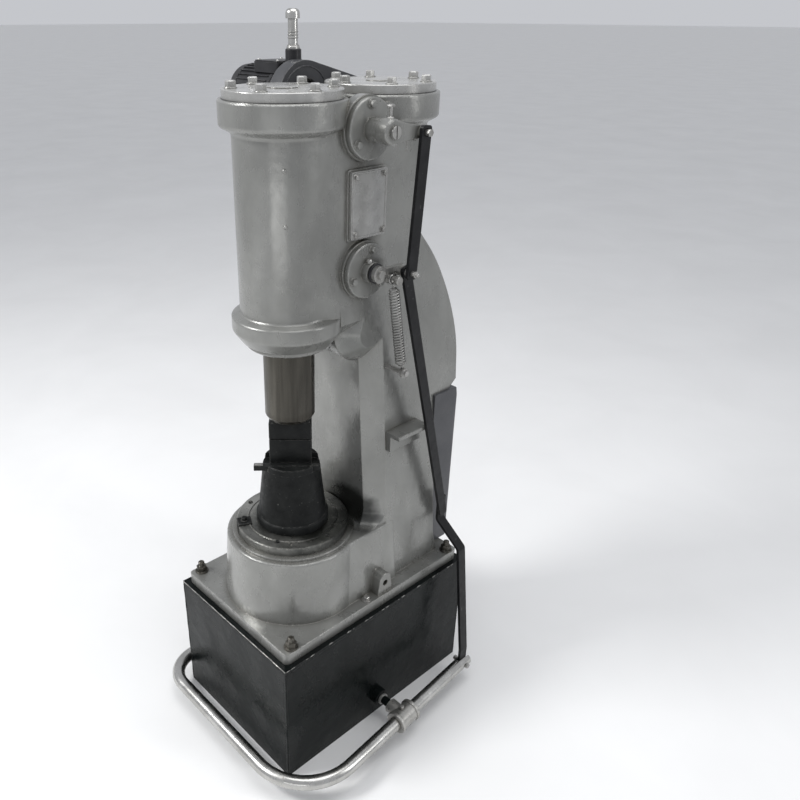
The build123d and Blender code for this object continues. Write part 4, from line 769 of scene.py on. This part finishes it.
def circle_points(centre, radius, count, phase, plane):
    """Points on a circle: plane "xy" lies flat, plane "yz" faces the right side."""
    points = []
    for i in range(count):
        angle = radians(phase) + 2 * pi * i / count
        a = radius * cos(angle)
        b = radius * sin(angle)
        if plane == "xy":
            points.append((centre[0] + a, centre[1] + b, centre[2]))
        else:
            points.append((centre[0], centre[1] + a, centre[2] + b))
    return points


# Pieces

COVER_SEAT, COVER_TOP = (corner[2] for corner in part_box("front_cylinder_cover"))
REAR_AXIS = sum(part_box("rear_cylinder_cover")[i][1] for i in (0, 1)) / 2
CYLINDER_AXES = (0.0, REAR_AXIS)
COVER_BOLTS = 6
COVER_BOLT_R = 98 * MM
COVER_BOLT_PHASES = {"front_cover_bolts": 58, "rear_cover_bolts": 28}
COVER_BOSS = ((0.030, 0), (0.030, 0.0022), (0.0275, 0.0034), (0.010, 0.0036))
GASKET = ((0.1168, 0), (0.1178, 0.0004), (0.1178, 0.0020), (0.1168, 0.0024))
GASKET_HALF = 1.2 * MM


def cover_bolts():
    for y, (name, phase) in zip(CYLINDER_AXES, COVER_BOLT_PHASES.items()):
        bm = bmesh.new()
        for i, at in enumerate(circle_points((0, y, COVER_TOP), COVER_BOLT_R, COVER_BOLTS, phase, "xy")):
            add_bolt(bm, at, UP, "cover", spin=i * 0.7)
        piece(name, bm, "frame", "cover_paint")
    bm = bmesh.new()
    for y in CYLINDER_AXES:
        add_lathe(bm, place((0, y, COVER_TOP - SEAT)), COVER_BOSS, 48)
    piece("cover_bosses", bm, "frame", "cover_paint")
    bm = bmesh.new()
    for y in CYLINDER_AXES:
        add_lathe(bm, place((0, y, COVER_SEAT - GASKET_HALF)), GASKET, 96)
    piece("cover_gaskets", bm, "frame", "motor_paint")


VALVE_Y = 0.118
UPPER_VALVE_Z = 1.483
LOWER_VALVE_Z = 1.203
FLANGE_FACE_X = 0.124
FLANGE_BOLT_R = 46 * MM
FLANGE_BOLTS = 3
FLANGES = {"upper_flange_bolts": (UPPER_VALVE_Z, 94), "lower_flange_bolts": (LOWER_VALVE_Z, 78)}
PLATE_SCREW_INSET = 10 * MM
PLATE_BEAD_INSET = 4 * MM
PLATE_BEAD_R = 1.4 * MM
PLATE_BEAD_STEPS = 8


def valve_bolts():
    for name, (z, phase) in FLANGES.items():
        bm = bmesh.new()
        for at in circle_points((FLANGE_FACE_X, VALVE_Y, z), FLANGE_BOLT_R, FLANGE_BOLTS, phase, "yz"):
            add_bolt(bm, at, RIGHT, "flange")
        piece(name, bm, "frame", "casting_paint")
    low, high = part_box("valve_cover_plate")
    face = high[0]
    bm = bmesh.new()
    for y in (low[1] + PLATE_SCREW_INSET, high[1] - PLATE_SCREW_INSET):
        for z in (low[2] + PLATE_SCREW_INSET, high[2] - PLATE_SCREW_INSET):
            add_bolt(bm, (face, y, z), RIGHT, "plate", spin=z)
    piece("cover_plate_screws", bm, "frame", "bright_steel")
    bm = bmesh.new()
    near, far = low[1] + PLATE_BEAD_INSET, high[1] - PLATE_BEAD_INSET
    under, over = low[2] + PLATE_BEAD_INSET, high[2] - PLATE_BEAD_INSET
    corners = [
        Vector((face, y, z)) for y, z in ((near, under), (far, under), (far, over), (near, over))
    ]
    for a, b in zip(corners, corners[1:] + corners[:1]):
        line = [a.lerp(b, t / PLATE_BEAD_STEPS) for t in range(PLATE_BEAD_STEPS + 1)]
        add_tube(bm, line, PLATE_BEAD_R, 8)
    piece("cover_plate_bead", bm, "frame", "cover_paint", SHARP_BEAD)


FOOT_TOP = 0.380
FOOT_STUDS = [(x, y) for x in (-0.184, 0.184) for y in (-0.161, 0.385)]
FOOT_BOLT_AT = (0.184, 0.082, FOOT_TOP)
NUT_STACK = HEADS["foot_nut"][1] + HEADS["foot_nut"][3] - 0.5 * MM
STUD_R = 8 * MM
STUD_REACH = 13 * MM


def foot_fasteners():
    bm = bmesh.new()
    for x, y in FOOT_STUDS:
        add_bolt(bm, (x, y, FOOT_TOP), UP, "foot_nut", spin=x + y)
        add_stud(bm, (x, y, FOOT_TOP + NUT_STACK), UP, STUD_R, STUD_REACH)
    piece("foot_nuts", bm, "frame", "ram_steel")
    bm = bmesh.new()
    add_bolt(bm, FOOT_BOLT_AT, UP, "foot_bolt", spin=0.4)
    piece("foot_plate_bolt", bm, "frame", "bright_steel")


CLAMP_ANGLE = radians(242)
CLAMP_BOLT_R = 120 * MM
DISC_STEP = ((0.1115, 0), (0.1115, 0.0016), (0.1100, 0.0026), (0.1080, 0.0026), (0.1070, 0.0010))
DISC_STEP_SINK = 0.6 * MM
DISC_SCREWS = ((-0.114, -0.044), (0.060, -0.096), (0.118, 0.010), (-0.060, 0.100))


def anvil_details():
    bm = bmesh.new()
    at = Vector((cos(CLAMP_ANGLE), sin(CLAMP_ANGLE), 0)) * CLAMP_BOLT_R
    add_bolt(bm, (at.x, at.y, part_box("disc_clamp")[1][2]), UP, "clamp", spin=0.5)
    piece("clamp_bolt", bm, "frame", "die_steel")
    disc_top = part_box("anvil_disc")[1][2]
    bm = bmesh.new()
    add_lathe(bm, place((0, 0, disc_top - DISC_STEP_SINK)), DISC_STEP, 120)
    piece("disc_step", bm, "frame", "anvil_iron")
    bm = bmesh.new()
    for i, (x, y) in enumerate(DISC_SCREWS):
        add_screw(bm, (x, y, disc_top), UP, "disc", slot_turn=i * 0.9)
    piece("disc_screws", bm, "frame", "die_steel")


DIE_TURN = radians(48)
DIE_LONG = 49 * MM
DIE_WIDE = 27 * MM
SLOT_NEAR = -41.5 * MM
SLOT_FAR = 21 * MM
KEY_NEAR = -41 * MM
KEY_FAR = -26.5 * MM
KEY_ENDS = (-86 * MM, 70 * MM)
KEY_TAPER = 3 * MM
KEY_PLAY = 0.3 * MM
DIE_EDGE = 2.4 * MM
SHANK_EDGE = 1.0 * MM
SHANK_LAP = 3 * MM
NECK_H = 12 * MM
NECK_STEP = 9 * MM
NECK_IN = (4 * MM, 3 * MM)
KEY_EDGE = 1.2 * MM
SHIM_EDGE = 0.6 * MM
SHIM_LOW = (-84 * MM, KEY_NEAR + 2 * MM, -0.6 * MM)
SHIM_HIGH = (-64 * MM, KEY_NEAR + 11 * MM, 2.2 * MM)

# Sow profile above its foot, then the head on both sides of the die slot, with heights below its top
SOW_FOOT = (
    (0.0865, 0),
    (0.0880, 0.0015),
    (0.0880, 0.0185),
    (0.0865, 0.0210),
    (0.0838, 0.0225),
    (0.0826, 0.0260),
)
SOW_NECK_R = 68.0 * MM
SOW_CROWN = ((0.0664, -0.002), (0.0646, 0))
CHEEK_STEPS = 24


def turned(bm):
    """Turns a die-block mesh from its own long axis to its place on the hammer."""
    bmesh.ops.rotate(bm, verts=bm.verts[:], cent=(0, 0, 0), matrix=Matrix.Rotation(DIE_TURN, 3, "Z"))


def sow_cheek(bm, chord, side, levels):
    """Part of the sow's round head on one side of the die slot."""
    rings = []
    for radius, height in levels:
        reach = acos(abs(chord) / radius)
        ring = []
        for i in range(CHEEK_STEPS + 1):
            angle = -reach + 2 * reach * i / CHEEK_STEPS
            ring.append(Vector((radius * sin(angle), side * radius * cos(angle), height)))
        rings.append(ring)
    add_rings(bm, rings)


def die_blocks():
    """Sow block, both dies and the key, in place of the CAD solids, and the shim on the key."""
    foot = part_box("sow_block")[0][2]
    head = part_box("sow_block")[1][2]
    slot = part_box("lower_die")[0][2]
    bm = bmesh.new()
    profile = [(radius, foot + height) for radius, height in SOW_FOOT] + [(SOW_NECK_R, slot)]
    add_lathe(bm, Matrix.Identity(4), profile, 96)
    levels = [(SOW_NECK_R, slot)] + [(radius, head + height) for radius, height in SOW_CROWN]
    sow_cheek(bm, SLOT_NEAR, -1, levels)
    sow_cheek(bm, SLOT_FAR, 1, levels)
    turned(bm)
    sow = piece("sow_body", bm, "frame", "die_steel")
    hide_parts("sow_block")

    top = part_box("lower_die")[1][2]
    bm = bmesh.new()
    add_block(bm, (-DIE_LONG, KEY_FAR, slot), (DIE_LONG, SLOT_FAR, head + SHANK_LAP), SHANK_EDGE)
    add_block(bm, (-DIE_LONG, -DIE_WIDE, head), (DIE_LONG, DIE_WIDE, top), DIE_EDGE)
    turned(bm)
    lower = piece("lower_die_body", bm, "frame", "die_steel")
    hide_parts("lower_die")

    low, high = (corner[2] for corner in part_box("upper_die"))
    neck = (DIE_LONG - NECK_IN[0], DIE_WIDE - NECK_IN[1])
    bm = bmesh.new()
    add_block(bm, (-DIE_LONG, -DIE_WIDE, low), (DIE_LONG, DIE_WIDE, high - NECK_STEP), DIE_EDGE)
    add_block(bm, (-neck[0], -neck[1], high - NECK_H), (*neck, high), SHANK_EDGE)
    turned(bm)
    upper = piece("upper_die_body", bm, "ram_body", "die_steel")
    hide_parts("upper_die")

    bm = bmesh.new()
    add_block(
        bm,
        (KEY_ENDS[0], KEY_NEAR, slot + KEY_PLAY),
        (KEY_ENDS[1], KEY_FAR, head - KEY_PLAY),
        KEY_EDGE,
    )
    for vert in bm.verts:
        share = (vert.co.x - KEY_ENDS[0]) / (KEY_ENDS[1] - KEY_ENDS[0])
        if vert.co.y < (KEY_NEAR + KEY_FAR) / 2:
            vert.co.y += KEY_TAPER * share
    turned(bm)
    key = piece("die_key_body", bm, "frame", "die_steel")
    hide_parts("die_key")
    bm = bmesh.new()
    add_block(bm, (*SHIM_LOW[:2], head + SHIM_LOW[2]), (*SHIM_HIGH[:2], head + SHIM_HIGH[2]), SHIM_EDGE)
    turned(bm)
    piece("key_shim", bm, "frame", "bright_steel")


PLUG_HEIGHTS = (1.4205, 1.3160)
PLUG_SIDE = Vector((0.0772, -0.063, 0)).normalized()
PLUG_SEAT_R = 102.2 * MM
PLUG = ((0.0042, -0.002), (0.0040, 0.0012), (0.0026, 0.0026))


def casting_bumps():
    """Two small plugs on the front cylinder."""
    at = PLUG_SIDE * PLUG_SEAT_R
    bm = bmesh.new()
    for z in PLUG_HEIGHTS:
        add_lathe(bm, place((at.x, at.y, z), PLUG_SIDE), PLUG, 16)
    piece("cylinder_plugs", bm, "frame", "casting_paint")


# Places on the linkage: pins and split pins as (y, z) with their x named apart, the thumb screw
# as (x, y), the stations of its bar as (y, z, radius in mm), and the legs of the split pin as
# (half spread in mm, y, z)
THUMB_AT = (0.168, 0.122)
THUMB_Z = (1.500, 1.527)
THUMB_R = 3.2 * MM
THUMB_NUT_Z = 1.5035
THUMB_NUT = ((0.0068, 0), (0.0068, 0.004), (0.0058, 0.0052))
THUMB_BAR = ((0.1125, 1.5275, 2.2), (0.117, 1.5285, 3.2), (0.127, 1.5285, 3.2), (0.1315, 1.5275, 2.2))
PIN_END_X = 0.204
UPPER_PIN = (0.193, 1.478)
UPPER_PIN_IN_X = 0.1755
LOWER_PIN = (0.173, LOWER_VALVE_Z)
LOWER_STUD_X = 0.2085
LOWER_STUD = (4.6 * MM, 6 * MM, 1.2 * MM)
SPLIT_PIN_X = 0.180
SPLIT_PIN_WIRE = 0.9 * MM
SPLIT_PIN_LEGS = ((0.8, 0.157, 1.474), (1.0, 0.157, 1.452), (3.0, 0.1575, 1.444))
CROSS_PIN = ((0.1735, 0.172, 1.4655), (0.1880, 0.172, 1.4655))
CROSS_PIN_R = 2.0 * MM
HUB_RING_X = 0.1422
HUB_RING = ((0.0205, 0.0010), (0.0212, 0.0022), (0.0212, 0.0062), (0.0205, 0.0074))
HUB_SCREW_AT = (0.134, 0.111, 1.2235)
HOOK_PIN_X = 0.1785
HOOK_PIN_HEAD = ((0.1375, 1.1900), (0.1350, 1.1905), (0.1335, 1.1890))
HOOK_PIN_TAIL = ((0.1560, 1.1900), (0.1640, 1.1885))
HOOK_PIN_WIRE = (1.4 * MM, 1.3 * MM)
PIN_CAP_AT = (0.1805, 0.147, 1.190)
PIN_CAP = ((0.0090, 0), (0.0096, 0.0007), (0.0096, 0.0066), (0.0084, 0.0079))


def lever_details():
    bm = bmesh.new()
    add_tube(bm, [(*THUMB_AT, z) for z in THUMB_Z], THUMB_R, 14)
    add_lathe(bm, place((*THUMB_AT, THUMB_NUT_Z)), THUMB_NUT, 6)
    bar = [(THUMB_AT[0], y, z) for y, z, radius in THUMB_BAR]
    add_tube(bm, bar, 0, 12, [radius * MM for y, z, radius in THUMB_BAR])
    piece("thumb_screw", bm, "upper_lever", "bright_steel")
    bm = bmesh.new()
    add_bolt(bm, (PIN_END_X, *UPPER_PIN), RIGHT, "pin")
    add_bolt(bm, (UPPER_PIN_IN_X, *UPPER_PIN), LEFT, "pin_wide")
    piece("upper_pin_heads", bm, "upper_lever", "bright_steel")
    bm = bmesh.new()
    for side in (-1, 1):
        leg = [(SPLIT_PIN_X + side * spread * MM, y, z) for spread, y, z in SPLIT_PIN_LEGS]
        add_tube(bm, leg, SPLIT_PIN_WIRE, 8)
    piece("lever_split_pin", bm, "upper_lever", "bright_steel")
    bm = bmesh.new()
    add_tube(bm, CROSS_PIN, CROSS_PIN_R, 12)
    piece("lever_cross_pin", bm, "upper_lever", "bright_steel")
    bm = bmesh.new()
    add_bolt(bm, (PIN_END_X, *LOWER_PIN), RIGHT, "pin")
    add_stud(bm, (LOWER_STUD_X, *LOWER_PIN), RIGHT, *LOWER_STUD)
    piece("lower_pin_head", bm, "lower_lever", "bright_steel")
    bm = bmesh.new()
    add_lathe(bm, place((HUB_RING_X, VALVE_Y, LOWER_VALVE_Z), RIGHT), HUB_RING, 40)
    piece("lower_hub_ring", bm, "lower_lever", "motor_paint")
    bm = bmesh.new()
    add_bolt(bm, HUB_SCREW_AT, UP, "hub", spin=0.3)
    piece("lower_hub_screw", bm, "frame", "bright_steel")
    bm = bmesh.new()
    for line, wire in zip((HOOK_PIN_HEAD, HOOK_PIN_TAIL), HOOK_PIN_WIRE):
        add_tube(bm, [(HOOK_PIN_X, *at) for at in line], wire, 10)
    piece("spring_split_pin", bm, "lower_lever", "bright_steel")
    bm = bmesh.new()
    add_lathe(bm, place(PIN_CAP_AT, RIGHT), PIN_CAP, 32)
    piece("spring_pin_cap", bm, "lower_lever", "bright_steel")


SPRING_TOP = Vector((0.168, 0.147, 1.190))
SPRING_FOOT = Vector((0.168, 0.187, 0.967))
TOP_EYE_R = 10.3 * MM
FOOT_EYE_R = 7.8 * MM
SPRING_NECK = 6.0 * MM
COIL_R = 10.8 * MM
COIL_WIRE = 1.5 * MM
COIL_TURNS = 30
COIL_STEPS = 24
END_TURNS = 1.5
END_SHARE = 0.12
EYE_STEPS = 22
EYE_TURN = 0.94
EYE_PHASE = 0.4
HOOK_LEAD = 3 * MM


def spring_eye(centre, radius, axis, across, phase):
    """Points round the open eye at one end of the spring."""
    points = []
    for i in range(EYE_STEPS):
        angle = phase + 2 * pi * (i / EYE_STEPS) * EYE_TURN
        points.append(centre + axis * radius * cos(angle) - across * radius * sin(angle))
    return points


def return_spring():
    axis = (SPRING_FOOT - SPRING_TOP).normalized()
    side = Vector(RIGHT)
    across = axis.cross(side).normalized()
    start = TOP_EYE_R + SPRING_NECK
    end = (SPRING_FOOT - SPRING_TOP).length - FOOT_EYE_R - SPRING_NECK
    points = spring_eye(SPRING_TOP, TOP_EYE_R, axis, across, EYE_PHASE)
    points.append(SPRING_TOP + axis * (start - HOOK_LEAD))
    total = COIL_TURNS * COIL_STEPS
    for i in range(total + 1):
        share = i / total
        turn = share * COIL_TURNS
        ease = min(1.0, turn / END_TURNS, (COIL_TURNS - turn) / END_TURNS)
        radius = COIL_R * max(ease, END_SHARE)
        angle = 2 * pi * turn
        points.append(
            SPRING_TOP
            + axis * (start + (end - start) * share)
            + side * radius * cos(angle)
            + across * radius * sin(angle)
        )
    points.append(SPRING_TOP + axis * (end + HOOK_LEAD))
    points += spring_eye(SPRING_FOOT, FOOT_EYE_R, axis, across, pi + EYE_PHASE)
    bm = bmesh.new()
    add_tube(bm, points, COIL_WIRE, 7)
    spring = piece("return_spring_coils", bm, None, "spring_steel", SHARP_WIRE)
    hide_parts("return_spring")
    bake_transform(spring)


ANCHOR_END_X = 0.1785


def anchor_nut():
    bm = bmesh.new()
    add_bolt(bm, (ANCHOR_END_X, SPRING_FOOT.y, SPRING_FOOT.z), RIGHT, "anchor")
    piece("anchor_nut", bm, "frame", "bright_steel")


TEE_SCREW_AT = (0.307, 0.100)
TEE_SCREW_Z = (0.084, 0.0915)
TEE_SCREW_R = 5 * MM
TEE_HEAD_Z = 0.0905
PIVOT = (0.104, 0.060)
STUB_COLLAR_STEP = 18 * MM
STUB_COLLAR = ((0.0135, 0), (0.0150, 0.001), (0.0150, 0.006), (0.0135, 0.007))
HEEL_SINK = 1 * MM


def treadle_details():
    bm = bmesh.new()
    add_tube(bm, [(*TEE_SCREW_AT, z) for z in TEE_SCREW_Z], TEE_SCREW_R, 14)
    add_bolt(bm, (*TEE_SCREW_AT, TEE_HEAD_Z), UP, "tee")
    piece("tee_set_screw", bm, "treadle", "fitting_metal")
    low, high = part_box("heel_pin")
    axis = ((low[1] + high[1]) / 2, (low[2] + high[2]) / 2)
    bm = bmesh.new()
    add_bolt(bm, (high[0] - HEEL_SINK, *axis), RIGHT, "heel")
    add_bolt(bm, (low[0] + HEEL_SINK, *axis), LEFT, "heel")
    piece("heel_pin_heads", bm, "treadle", "bright_steel")
    bm = bmesh.new()
    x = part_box("pivot_stub_right")[0][0] + STUB_COLLAR_STEP
    add_lathe(bm, place((x, *PIVOT), RIGHT), STUB_COLLAR, 32)
    piece("stub_collar", bm, "frame", "bright_steel")


WELD_INSET = 1.5 * MM
WELD_FOOT = 10 * MM
WELD_DROP = 1 * MM
WELD_GAP = 2 * MM
RIM_DROP = 1.2 * MM
RIM_SCALE_X = 0.9955

# Beads: steps along the line and sides, then the mean radius in mm, and the height in mm and the
# rate of two waves in it
CORNER_BEAD = (110, 8, 2.3, 0.35, 1.9, 0.25, 0.31)
TOP_BEAD = (150, 8, 1.7, 0.3, 2.1, 0.2, 0.43)
RIM_BEAD = (120, 6, 0.95, 0.3, 0.53, 0.2, 1.7)


def add_bead(bm, start, end, bead):
    """Weld bead, or a light strip that paints an edge highlight, along a straight line, with an uneven
    radius.
    """
    steps, sides, mean, high_1, rate_1, high_2, rate_2 = bead
    start = Vector(start)
    along = Vector(end) - start
    points = [start + along * (i / steps) for i in range(steps + 1)]
    radii = [
        (mean + high_1 * sin(i * rate_1) + high_2 * sin(i * rate_2)) * MM for i in range(steps + 1)
    ]
    add_tube(bm, points, 0, sides, radii)


def box_corners(low, high, z):
    """Four corners of an upright box at one height, in order round it."""
    return [(low[0], low[1], z), (high[0], low[1], z), (high[0], high[1], z), (low[0], high[1], z)]


def stand_welds():
    """Ripple-edged weld beads down the corners and under the top plate, and a light metal strip along its
    rim that paints the highlight on its edge.
    """
    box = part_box("stand_top_plate")
    low = (box[0][0] + WELD_INSET, box[0][1] + WELD_INSET)
    high = (box[1][0] - WELD_INSET, box[1][1] - WELD_INSET)
    top = box[0][2] - WELD_DROP
    bm = bmesh.new()
    for x in (low[0], high[0]):
        for y in (low[1], high[1]):
            add_bead(bm, (x, y, WELD_FOOT), (x, y, top - WELD_GAP), CORNER_BEAD)
    corners = box_corners(low, high, top)
    for a, b in zip(corners, corners[1:] + corners[:1]):
        add_bead(bm, a, b, TOP_BEAD)
    piece("stand_welds", bm, "frame", "stand_paint", SHARP_WIRE)
    # Painted highlight: a light metal strip along the top edge of the stand
    bm = bmesh.new()
    rim_low = (box[0][0] * RIM_SCALE_X, box[0][1])
    rim_high = (box[1][0] * RIM_SCALE_X, box[1][1])
    corners = box_corners(rim_low, rim_high, box[1][2] - RIM_DROP)
    for a, b in zip(corners, corners[1:] + corners[:1]):
        add_bead(bm, a, b, RIM_BEAD)
    piece("stand_rim_highlight", bm, "frame", "fitting_metal", SHARP_WIRE)


MOTOR_Y = 0.204
MOTOR_Z = 1.514
FIN_COUNT = 34
FIN_START = 30 * MM
FIN_LOW = (58.5 * MM, -1.1 * MM, 0)
FIN_HIGH = (63.2 * MM, 1.1 * MM, 112 * MM)
FIN_EDGE = 0.5 * MM
BAND = ((0.0602, 0), (0.0618, 0.0012), (0.0618, 0.0088), (0.0602, 0.010))
BAND_STEPS = (22 * MM, 34 * MM)
GRILLE_RINGS = (12 * MM, 22 * MM, 32 * MM, 42 * MM)
GRILLE_SPOKES = 8
GRILLE_REACH = (10 * MM, 46 * MM)
GRILLE_LIFT = 1.6 * MM
GRILLE_WIRE = (1.3 * MM, 1.1 * MM)
LID_INSET = 3 * MM
LID_H = 3 * MM
LID_SINK = 0.5 * MM
LID_EDGE = 1.2 * MM
LID_SCREW_INSET = 10 * MM
MOTOR_FOOT_DROP = 76 * MM
MOTOR_FOOT_INSET = 45 * MM
MOTOR_FOOT_SPREAD = 26 * MM


def motor_details():
    low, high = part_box("motor_body")
    bm = bmesh.new()
    for i in range(FIN_COUNT):
        turn = place((low[0] + FIN_START, MOTOR_Y, MOTOR_Z), RIGHT, 2 * pi * i / FIN_COUNT)
        add_block(bm, FIN_LOW, FIN_HIGH, FIN_EDGE, turn)
    piece("motor_fins", bm, "frame", "motor_paint")
    bm = bmesh.new()
    for x in (low[0] + BAND_STEPS[0], high[0] - BAND_STEPS[1]):
        add_lathe(bm, place((x, MOTOR_Y, MOTOR_Z), RIGHT), BAND, 64)
    piece("motor_bands", bm, "frame", "motor_paint")
    bm = bmesh.new()
    x = low[0] + GRILLE_LIFT
    for radius in GRILLE_RINGS:
        ring = circle_points((x, MOTOR_Y, MOTOR_Z), radius, 48, 0, "yz")
        add_tube(bm, ring + ring[:1], GRILLE_WIRE[0], 8)
    for i in range(GRILLE_SPOKES):
        turn = 2 * pi * i / GRILLE_SPOKES
        spoke = [(x, MOTOR_Y + r * cos(turn), MOTOR_Z + r * sin(turn)) for r in GRILLE_REACH]
        add_tube(bm, spoke, GRILLE_WIRE[1], 8)
    piece("motor_fan_grille", bm, "frame", "motor_paint")
    lid_low, lid_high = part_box("terminal_box")
    top = lid_high[2]
    bm = bmesh.new()
    add_block(
        bm,
        (lid_low[0] + LID_INSET, lid_low[1] + LID_INSET, top - LID_SINK),
        (lid_high[0] - LID_INSET, lid_high[1] - LID_INSET, top + LID_H),
        LID_EDGE,
    )
    piece("terminal_box_lid", bm, "frame", "motor_paint")
    bm = bmesh.new()
    for x in (lid_low[0] + LID_SCREW_INSET, lid_high[0] - LID_SCREW_INSET):
        for y in (lid_low[1] + LID_SCREW_INSET, lid_high[1] - LID_SCREW_INSET):
            add_screw(bm, (x, y, top + LID_H), UP, "lid", slot_turn=x * 40)
    piece("terminal_box_screws", bm, "frame", "bright_steel")
    bm = bmesh.new()
    for x in (low[0] + MOTOR_FOOT_INSET, high[0] - MOTOR_FOOT_INSET):
        for y in (MOTOR_Y - MOTOR_FOOT_SPREAD, MOTOR_Y + MOTOR_FOOT_SPREAD):
            add_bolt(bm, (x, y, MOTOR_Z - MOTOR_FOOT_DROP), DOWN, "motor_foot")
    piece("motor_foot_bolts", bm, "frame", "bright_steel")


POST_SINK = 0.5 * MM
POST_FOOT = ((0.0150, 0), (0.0150, 0.004), (0.0138, 0.0052), (0.0138, 0.0075), (0.0122, 0.0086))
POST_RING = ((0.0108, 0), (0.0121, 0.0009), (0.0121, 0.0023), (0.0108, 0.0032))
POST_RING_HEIGHTS = (20 * MM, 26 * MM, 32 * MM)


def post_details():
    low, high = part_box("chrome_post")
    x = (low[0] + high[0]) / 2
    y = (low[1] + high[1]) / 2
    bm = bmesh.new()
    add_lathe(bm, place((x, y, low[2] - POST_SINK)), POST_FOOT, 32)
    for z in POST_RING_HEIGHTS:
        add_lathe(bm, place((x, y, low[2] + z)), POST_RING, 32)
    piece("post_rings", bm, "frame", "bright_steel")


WINDOW_BEAD_R = 64 * MM
WINDOW_BEAD_ARC = (-62, 304)
WINDOW_BEAD_STEPS = 60
WINDOW_BEAD_WIRE = 1.6 * MM
GUARD_BOLTS = (
    (0.140, 1.500),
    (0.165, 1.566),
    (0.243, 1.566),
    (0.360, 1.530),
    (0.398, 1.450),
    (0.120, 1.150),
    (0.455, 1.100),
    (0.150, 0.790),
    (0.430, 0.790),
    (0.290, 0.725),
)


def guard_details():
    low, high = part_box("belt_guard")
    first, sweep = WINDOW_BEAD_ARC
    points = []
    for i in range(WINDOW_BEAD_STEPS + 1):
        angle = radians(first + sweep * i / WINDOW_BEAD_STEPS)
        y = MOTOR_Y + WINDOW_BEAD_R * cos(angle)
        points.append((high[0], y, MOTOR_Z + WINDOW_BEAD_R * sin(angle)))
    bm = bmesh.new()
    add_tube(bm, points, WINDOW_BEAD_WIRE, 8)
    piece("guard_window_bead", bm, "frame", "guard_paint", SHARP_BEAD)
    bm = bmesh.new()
    for y, z in GUARD_BOLTS:
        add_bolt(bm, (low[0], y, z), LEFT, "guard", spin=y * 9)
    piece("guard_bolts", bm, "frame", "bright_steel")


REAR_SCREW_INSET = 26 * MM
REAR_SCREW_HEIGHTS = (30 * MM, 200 * MM, 370 * MM)


def rear_cover_details():
    low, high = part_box("rear_cover")
    bm = bmesh.new()
    for x in (low[0] + REAR_SCREW_INSET, high[0] - REAR_SCREW_INSET):
        for step in REAR_SCREW_HEIGHTS:
            z = low[2] + step
            add_screw(bm, (x, high[1], z), BACK, "rear", slot_turn=z * 20)
    piece("rear_cover_screws", bm, "frame", "bright_steel")


bpy.context.scene.view_settings.view_transform = "Standard"
add_camera()
add_studio()
FINISH = {name: coat(name, **spec) for name, spec in FINISHES.items()}
dress_nodes()
cover_bolts()
valve_bolts()
foot_fasteners()
anvil_details()
die_blocks()
casting_bumps()
lever_details()
return_spring()
anchor_nut()
treadle_details()
stand_welds()
motor_details()
post_details()
guard_details()
rear_cover_details()

bpy.context.view_layer.update()
